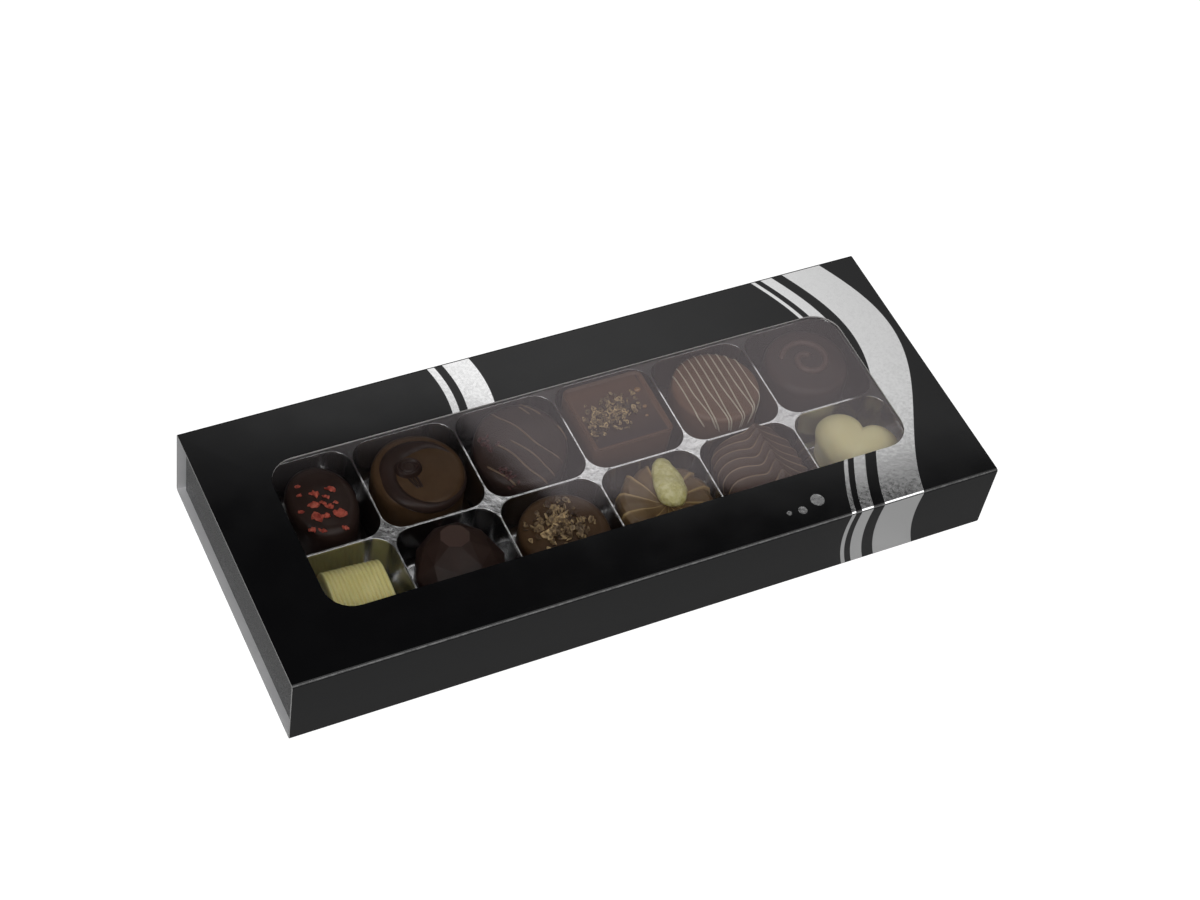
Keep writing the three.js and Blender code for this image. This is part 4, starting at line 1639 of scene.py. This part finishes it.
@dataclass
class Gem(Praline):
    """Dark gem with flat facets, their edges just rounded, its top facet painted lighter as a painted
    reflection.
    """

    def build(self) -> None:
        """Makes the gem from its solid."""
        shape = cad_copy("gem")
        layer = tone_layer(shape)
        bevelled(shape, 0.22, 2, 4)
        # Painted reflection: the top facet takes the lighter accent colour, standing in for what it mirrors.
        table = max(shape.faces, key=lambda face: face.calc_area() * (face.normal.z > 0.9))
        for vert in table.verts:
            vert[layer] = 0.7
        material = self.finishes.plain(DARK)
        piece = settle(shape, "gem_body", [material], Body.TRAY, Slot.DARK, ("gem",), 90)
        piece.modifiers.new("flat_facets", "WEIGHTED_NORMAL")


@dataclass
class NibDome(Praline):
    """Milk dome under a heap of cocoa nibs."""

    body: Turned = Turned(15, 18.3, shoulder=3.8, crown=1.5)
    nibs: int = 210
    heap_middle: PlanPoint = (-1.4, 0.2)
    heap_reach: float = 11.5
    squeeze: float = 0.95

    def build(self) -> None:
        """Makes the dome and its nibs."""
        self.put_body(self.body.shell(), MILK, Slot.MILK, (0.25, 9, 51))
        rng = random.Random(53)
        shards = Shards(rng, radius=(0.7, 1.7), thickness=0.6)
        heap = bmesh.new()
        for _ in range(self.nibs):
            reach = abs(rng.gauss(0, 6.0))
            aside, back = polar(min(reach, self.heap_reach), rng.uniform(0, 2 * math.pi))
            spot = self.body.skin(self.heap_middle[0] + aside, self.heap_middle[1] + self.squeeze * back)
            lift = rng.uniform(0.1, 1.3) * (1 - smooth_step(3, 9, reach))
            shards.add(heap, spot + Vector((0, 0, 0.25 + lift)))
        self.put(heap, "heaped_nibs", NIBS, Slot.NIBS, 25)


@dataclass
class Rosette(Praline):
    """Piped milk rosette of sharp folds with an almond on it."""

    radius: float = 16.2
    height: float = 17
    pleats: int = 12
    first: float = 150
    ruffle: float = 0.9
    pleat_depth: float = 2
    almond_size: Triple = (18.8, 10.8, 6.2)
    almond_place: Triple = (3, 6.2, 16.9)
    almond_lean: tuple[tuple[str, float], ...] = (("Y", 6), ("X", 5), ("Z", -7))
    levels: tuple[Triple, ...] = (
        (0.0, 0.78, 0.0),
        (0.12, 0.84, 0.3),
        (0.3, 0.92, 0.7),
        (0.55, 0.985, 0.95),
        (0.78, 1.0, 1.0),
        (0.93, 0.965, 1.0),
        (1.0, 0.87, 1.0),
        (1.0, 0.74, 0.9),
        (0.985, 0.58, 0.8),
        (0.95, 0.42, 0.6),
        (0.9, 0.26, 0.4),
        (0.87, 0.0, 0.0),
    )

    def place(self, round_share: float, up_share: float) -> Vector:
        """Point of the rosette for shares round it and from its foot to its middle."""
        high, reach, depth = between(self.levels, up_share)
        twist = 0.5 * max(up_share - 0.45, 0) / self.pleats * 2 * math.pi
        fold = (round_share * self.pleats) % 1
        crest = (1 - fold) ** 1.6
        roll = 0.25 * math.sin(fold * math.pi) ** 2
        angle = math.radians(self.first) + round_share * 2 * math.pi + twist
        right = smooth_step(-0.1, 0.7, math.cos(angle - 0.25))
        wave = math.sin(angle * 17 + 4 * up_share) * math.sin(math.pi * min(2 * up_share, 1))
        ruffle = self.ruffle * right * wave
        pleat = self.pleat_depth * depth * (1 - 0.5 * right)
        radial = self.radius * reach - pleat * (1 - crest - roll) - 0.4 * (ruffle + right)
        rise = pleat * (crest + roll - 0.72) * smooth_step(0.25, 0.55, up_share) + ruffle * reach
        radial = max(radial, 0) if up_share < 1 else 0
        return Vector((*polar(radial, angle), max(high * self.height + rise, 0)))

    def tone(self, round_share: float, up_share: float) -> float:
        """Tone of the rosette, painted palest along its crests as a painted highlight."""
        fold = (round_share * self.pleats + 1e-6) % 1
        line = 1 - smooth_step(0.02, 0.14, fold) + 0.5 * smooth_step(0.94, 1.0, fold)
        return line * smooth_step(0.1, 0.4, up_share)

    def almond(self) -> bmesh.types.BMesh:
        """Almond that lies in the rosette, its blunt tip to the back."""
        length, width, thickness = self.almond_size
        section = [(0.0, -0.5 * length)]
        for step in range(1, 32):
            share = step / 32
            reach = math.sin(math.pi * share**0.72) ** (0.64 - 0.22 * share) * width / 2
            section.append((reach, (share - 0.5) * length))
        section.append((0.0, 0.5 * length))
        nut = spun(section, 64)
        rotate(nut, -90, "X")
        for vert in nut.verts:
            vert.co.z *= thickness / width
            groove = math.sin(math.atan2(vert.co.z, vert.co.x) * 9 + 0.4 * vert.co.y)
            vert.co *= 1 + 0.008 * groove
        wobble(nut, 0.45, 3.0, 67)
        for axis, degrees in self.almond_lean:
            rotate(nut, degrees, axis)
        bmesh.ops.translate(nut, verts=nut.verts, vec=self.almond_place)
        return nut

    def build(self) -> None:
        """Makes the rosette and its almond."""
        shape = mapped(self.pleats * 20, 66, self.place, self.tone)
        self.put_body(shape, TAN, Slot.MILK, (0.3, 6, 61), 50)
        self.put(self.almond(), "whole_almond", ALMOND_SKIN, Slot.ALMOND, 60, ("almond",))


@dataclass
class RibbedPeak(Praline):
    """Dark milk mound of wavy layers that sweep back to a smooth crest band."""

    radius: float = 15.6
    height: float = 20.8
    side: float = 17.9
    crest_x: float = 2.4
    ribs: int = 8
    sweep: float = 4.6
    rib_depth: float = 0.5
    body: float = 0.955
    end_round: float = 0.5

    def fold(self, along: float) -> float:
        """Share of the way through a rib at a place from -1 to 1, 0 at its ridge."""
        return ((along + 1) / 2 * (self.ribs + 0.4) - 0.2) % 1

    def along(self, share: float) -> float:
        """Place from -1 at the front to 1 at the back for a share of the grid."""
        return max(min((2 * share - 1) / self.body, 1), -1)

    def place(self, share: float, round_share: float) -> Vector:
        """Point of the mound for shares from front to back and over its arch."""
        along = self.along(share)
        close = max((abs(2 * share - 1) - self.body) / (1 - self.body), 0)
        groove = math.sin(math.pi * self.fold(along) ** 0.6) ** 0.8
        depth = self.rib_depth * groove + self.end_round * smooth_step(0.96, 1, abs(along))
        cos, sin = polar(1, round_share * math.pi)
        sin = max(sin, 0)
        half = self.radius * (1 - 0.3 * abs(along) ** 5) - depth
        rise = self.side * (1 - 0.3 * max(-along, 0) ** 4) - depth
        foot = 0.9 + 0.1 * min(2.5 * sin, 1)
        x = -half * foot * math.copysign(abs(cos) ** 0.75, cos)
        aside = x - self.crest_x
        near = math.exp(-((aside / 2.6) ** 2) if aside < 0 else -aside / 4) * sin
        swept = (self.sweep * near - 0.35 * aside * sin) * (1 - along**2)
        y = (self.radius + 0.7) * along * (foot - 0.04 * (1 - sin)) + swept
        z = rise * sin**0.4 + (self.height - self.side) * near
        size = 1 - close
        return Vector((x * size, y, z * size + 0.4 * self.height * close))

    def tone(self, share: float, round_share: float) -> float:
        """Tone of the mound, painted palest along its ridges as a painted highlight, but for the smooth
        crest band.
        """
        fold = self.fold(self.along(share))
        ridge = 1 - smooth_step(0.02, 0.14, min(fold, 1 - fold))
        aside = abs(self.place(share, round_share).x - self.crest_x)
        return 0.8 * ridge * (0.35 + 0.65 * smooth_step(1.0, 3.0, aside))

    def build(self) -> None:
        """Makes the mound with its ridges painted lighter than its grooves, a painted highlight."""
        shape = mapped(250, 110, self.place, self.tone)
        self.put_body(shape, DARK_MILK, Slot.MILK, (0.3, 7, 71), 60)


@dataclass
class Heart(Praline):
    """Puffed ivory heart."""

    size: float = 0.99
    height: float = 18.9
    power: float = 3.5
    waves_x: PlanPoint = (-13.4, -2.6)
    waves_y: tuple[float, ...] = (13, -3.9, -1.6, -0.6)
    shift_y: float = 2.3
    passes: int = 8

    def place(self, round_share: float, up_share: float) -> Vector:
        """Point of the heart for shares round it and from its foot to its middle."""
        t = math.pi / 2 - round_share * 2 * math.pi
        x = self.waves_x[0] * math.sin(t) ** 3 + self.waves_x[1] * math.sin(t)
        y = sum(wave * math.cos(count * t) for count, wave in enumerate(self.waves_y, 1)) + self.shift_y
        cos, sin = polar(1, up_share * math.pi / 2)
        foot = 0.82 + 0.16 * smooth_step(0, 0.3, up_share)
        scale = self.size * foot * max(cos, 0) ** (2 / self.power) if up_share < 1 else 0.0
        return Vector((x * scale, y * scale, self.height * sin ** (2 / self.power)))

    def build(self) -> None:
        """Makes the heart."""
        shape = mapped(120, 48, self.place)
        axes = {"use_axis_x": True, "use_axis_y": True, "use_axis_z": True}
        for _ in range(self.passes):
            bmesh.ops.smooth_vert(shape, verts=shape.verts, factor=0.5, **axes)
        self.put_body(shape, IVORY, Slot.WHITE, (0.2, 9, 81), 60)


# The studio


@dataclass(frozen=True)
class SoftLight:
    """Rectangular light: its place, width and height in metres, and its power in watts."""

    name: str
    place: Triple
    size: PlanPoint
    power: float


@dataclass(frozen=True)
class Studio:
    """Pale floor, soft lights and the camera.

    Lengths are metres and angles degrees. The light card's pattern alone is set out in millimetres,
    by the place of the box's top that mirrors it.
    """

    azimuth: float = -34.3756
    elevation: float = 50.1944
    roll: float = 11.7608
    distance: float = 0.7835
    target: Triple = (0.00142, 0.00041, 0.0275)
    lens: float = 75.0
    sensor: float = 36.0
    floor_half: float = 4
    floor_color: Color = (0.24, 0.24, 0.24)
    floor_glow: float = 0.14
    mirror: PlanPoint = (0.2818, 0.4136)
    card_height: float = 0.63
    card_glow: float = 0.95
    card_corners: tuple[PlanPoint, ...] = ((-150, -60), (-150, 130), (160, 130), (160, -60))
    edge: float = 1.7
    left_edge: PlanPoint = (0.35, 25.0)
    front_edge: PlanPoint = (0.2, 17.5)
    back_rise: PlanPoint = (18, 47)
    back_fade: PlanPoint = (-130, -55)
    least_back: float = 0.35
    right_fade: PlanPoint = (20, 125)
    least_right: float = 0.6
    lights: tuple[SoftLight, ...] = (
        SoftLight("key", (-0.05, -0.45, 1.2), (1.8, 1.3), 10.3),
        SoftLight("side_fill", (-0.9, -0.5, 0.45), (0.5, 0.8), 3.4),
    )
    light_aim: Triple = (0, 0, 0.02)
    world_glow: float = 0.04

    def camera(self) -> None:
        """Camera at the photograph's angle."""
        azimuth, elevation = math.radians(self.azimuth), math.radians(self.elevation)
        back = Vector(
            (
                math.cos(elevation) * math.sin(azimuth),
                -math.cos(elevation) * math.cos(azimuth),
                math.sin(elevation),
            )
        )
        level = (-back).cross(Vector((0, 0, 1))).normalized()
        rise = level.cross(-back)
        roll = math.radians(self.roll)
        right = level * math.cos(roll) + rise * math.sin(roll)
        up = rise * math.cos(roll) - level * math.sin(roll)
        data = bpy.data.cameras.new("photo_view")
        data.lens = self.lens
        data.sensor_width = self.sensor
        data.clip_start = 0.01
        camera = bpy.data.objects.new("photo_view", data)
        turn = Matrix((right, up, back)).transposed().to_4x4()
        camera.matrix_world = Matrix.Translation(Vector(self.target) + back * self.distance) @ turn
        bpy.context.scene.collection.objects.link(camera)
        bpy.context.scene.camera = camera

    def sheet(
        self, name: str, corners: Iterable[Iterable[float]], material: bpy.types.Material
    ) -> bpy.types.Object:
        """Flat sheet between corners."""
        shape = bmesh.new()
        shape.faces.new([shape.verts.new(corner) for corner in corners])
        mesh = bpy.data.meshes.new(name)
        shape.to_mesh(mesh)
        shape.free()
        mesh.materials.append(material)
        sheet = bpy.data.objects.new(name, mesh)
        bpy.context.scene.collection.objects.link(sheet)
        return sheet

    def floor(self) -> None:
        """White floor, plainly white to the camera and duller in what it lights."""
        material, nodes, surface, _ = new_material("white_floor")
        seen = nodes.add("LightPath").outputs["Is Camera Ray"]
        inputs = {
            "Base Color": self.floor_color,
            "Roughness": 0.9,
            "Specular IOR Level": 0,
            "Emission Color": (1, 1, 1),
            "Emission Strength": nodes.span(seen, self.floor_glow, 1.0),
        }
        nodes.feed_all(surface, inputs)
        half = self.floor_half
        corners = ((-half, -half, 0), (half, -half, 0), (half, half, 0), (-half, half, 0))
        floor = self.sheet("floor", corners, material)
        floor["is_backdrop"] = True

    def mirrored(self, x: float, y: float) -> Vector:
        """Point of the light card that the camera sees mirrored at a place of the box's top."""
        return Vector((2 * x * MM + self.mirror[0], 2 * y * MM + self.mirror[1], self.card_height))

    def card(self) -> None:
        """Light card behind the box, whose mirror image veils the right part of the film."""
        material, nodes, surface, coordinates = new_material("light_card")
        x, y = (
            nodes.math("MULTIPLY_ADD", place, 0.5 / MM, -0.5 * middle / MM)
            for place, middle in zip(nodes.split(coordinates), self.mirror)
        )

        def edge(first: bpy.types.NodeSocket, second: bpy.types.NodeSocket, slope: PlanPoint) -> object:
            """Soft edge where the second place passes a line that slopes with the first."""
            line = nodes.math("MULTIPLY_ADD", first, slope[0], nodes.math("ADD", second, slope[1]))
            return nodes.rise(line, -self.edge, self.edge)

        veil = nodes.math("MULTIPLY", edge(y, x, self.left_edge), edge(x, y, self.front_edge))
        fade = nodes.span(nodes.rise(x, *self.back_fade), self.least_back, 1.0)
        back = nodes.math("MULTIPLY", nodes.rise(y, *self.back_rise), fade)
        right = nodes.span(nodes.rise(x, *self.right_fade), 1.0, self.least_right)
        shine = nodes.math("MULTIPLY", nodes.math("MAXIMUM", veil, back), right)
        inputs = {
            "Base Color": (0, 0, 0),
            "Specular IOR Level": 0,
            "Emission Color": (1, 1, 1),
            "Emission Strength": nodes.math("MULTIPLY", shine, self.card_glow),
        }
        nodes.feed_all(surface, inputs)
        corners = [self.mirrored(*corner) for corner in self.card_corners]
        card = self.sheet("light_card", corners, material)
        card.visible_camera = False
        card.visible_shadow = False
        card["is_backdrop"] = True

    def light(self, light: SoftLight) -> None:
        """Sets up a soft light that faces the box."""
        data = bpy.data.lights.new(light.name, "AREA")
        data.shape = "RECTANGLE"
        data.size, data.size_y = light.size
        data.energy = light.power
        lamp = bpy.data.objects.new(light.name, data)
        place = Vector(light.place)
        turn = (place - Vector(self.light_aim)).to_track_quat("Z", "Y").to_matrix().to_4x4()
        lamp.matrix_world = Matrix.Translation(place) @ turn
        lamp.visible_camera = False
        bpy.context.scene.collection.objects.link(lamp)

    def build(self) -> None:
        """Makes the studio."""
        self.camera()
        self.floor()
        self.card()
        for light in self.lights:
            self.light(light)
        world = bpy.data.worlds.new("studio")
        world.use_nodes = True
        glow = world.node_tree.nodes["Background"].inputs
        glow["Color"].default_value = (1, 1, 1, 1)
        glow["Strength"].default_value = self.world_glow
        bpy.context.scene.world = world
        bpy.context.scene.view_settings.view_transform = "Standard"


def main() -> None:
    """Builds the box, its contents and the studio in order."""
    logging.basicConfig(level=logging.INFO, format="%(name)s %(message)s")
    noise.seed_set(WOBBLE_SEED)
    Studio().build()
    finishes = Finishes()
    cells = Cells()
    Pack(finishes).build()
    Liner(finishes, cells).build()
    pralines = (
        RaspberryOval(finishes, cells, "raspberry_oval", 0, 0, (3.2, 0.5)),
        CommaDisc(finishes, cells, "comma_disc", 1, 0, (0.2, 0.6)),
        DrizzledOval(finishes, cells, "drizzled_oval", 2, 0, (0, 0)),
        NibSquare(finishes, cells, "nib_square", 3, 0, (-0.2, 1.2), 0.5),
        StripedDisc(finishes, cells, "striped_disc", 4, 0, (0.6, 0.6)),
        CurlDisc(finishes, cells, "curl_disc", 5, 0, (0.0, 0.5)),
        RibbedLoaf(finishes, cells, "ribbed_loaf", 0, 1, (1.3, 0.4), -3),
        Gem(finishes, cells, "gem", 1, 1, (0, 0.5)),
        NibDome(finishes, cells, "nib_dome", 2, 1, (-0.2, 0.9)),
        Rosette(finishes, cells, "rosette", 3, 1, (0, 0)),
        RibbedPeak(finishes, cells, "ribbed_peak", 4, 1, (1.4, 0.3)),
        Heart(finishes, cells, "heart", 5, 1, (-0.3, 0.7), -44),
    )
    for praline in pralines:
        praline.build()
    visual_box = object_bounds()
    boxes = {"cad": CAD_BOX, "visual": visual_box}
    {name: [list(corner) for corner in box] for name, box in boxes.items()}


if __name__ == "__main__":
    main()
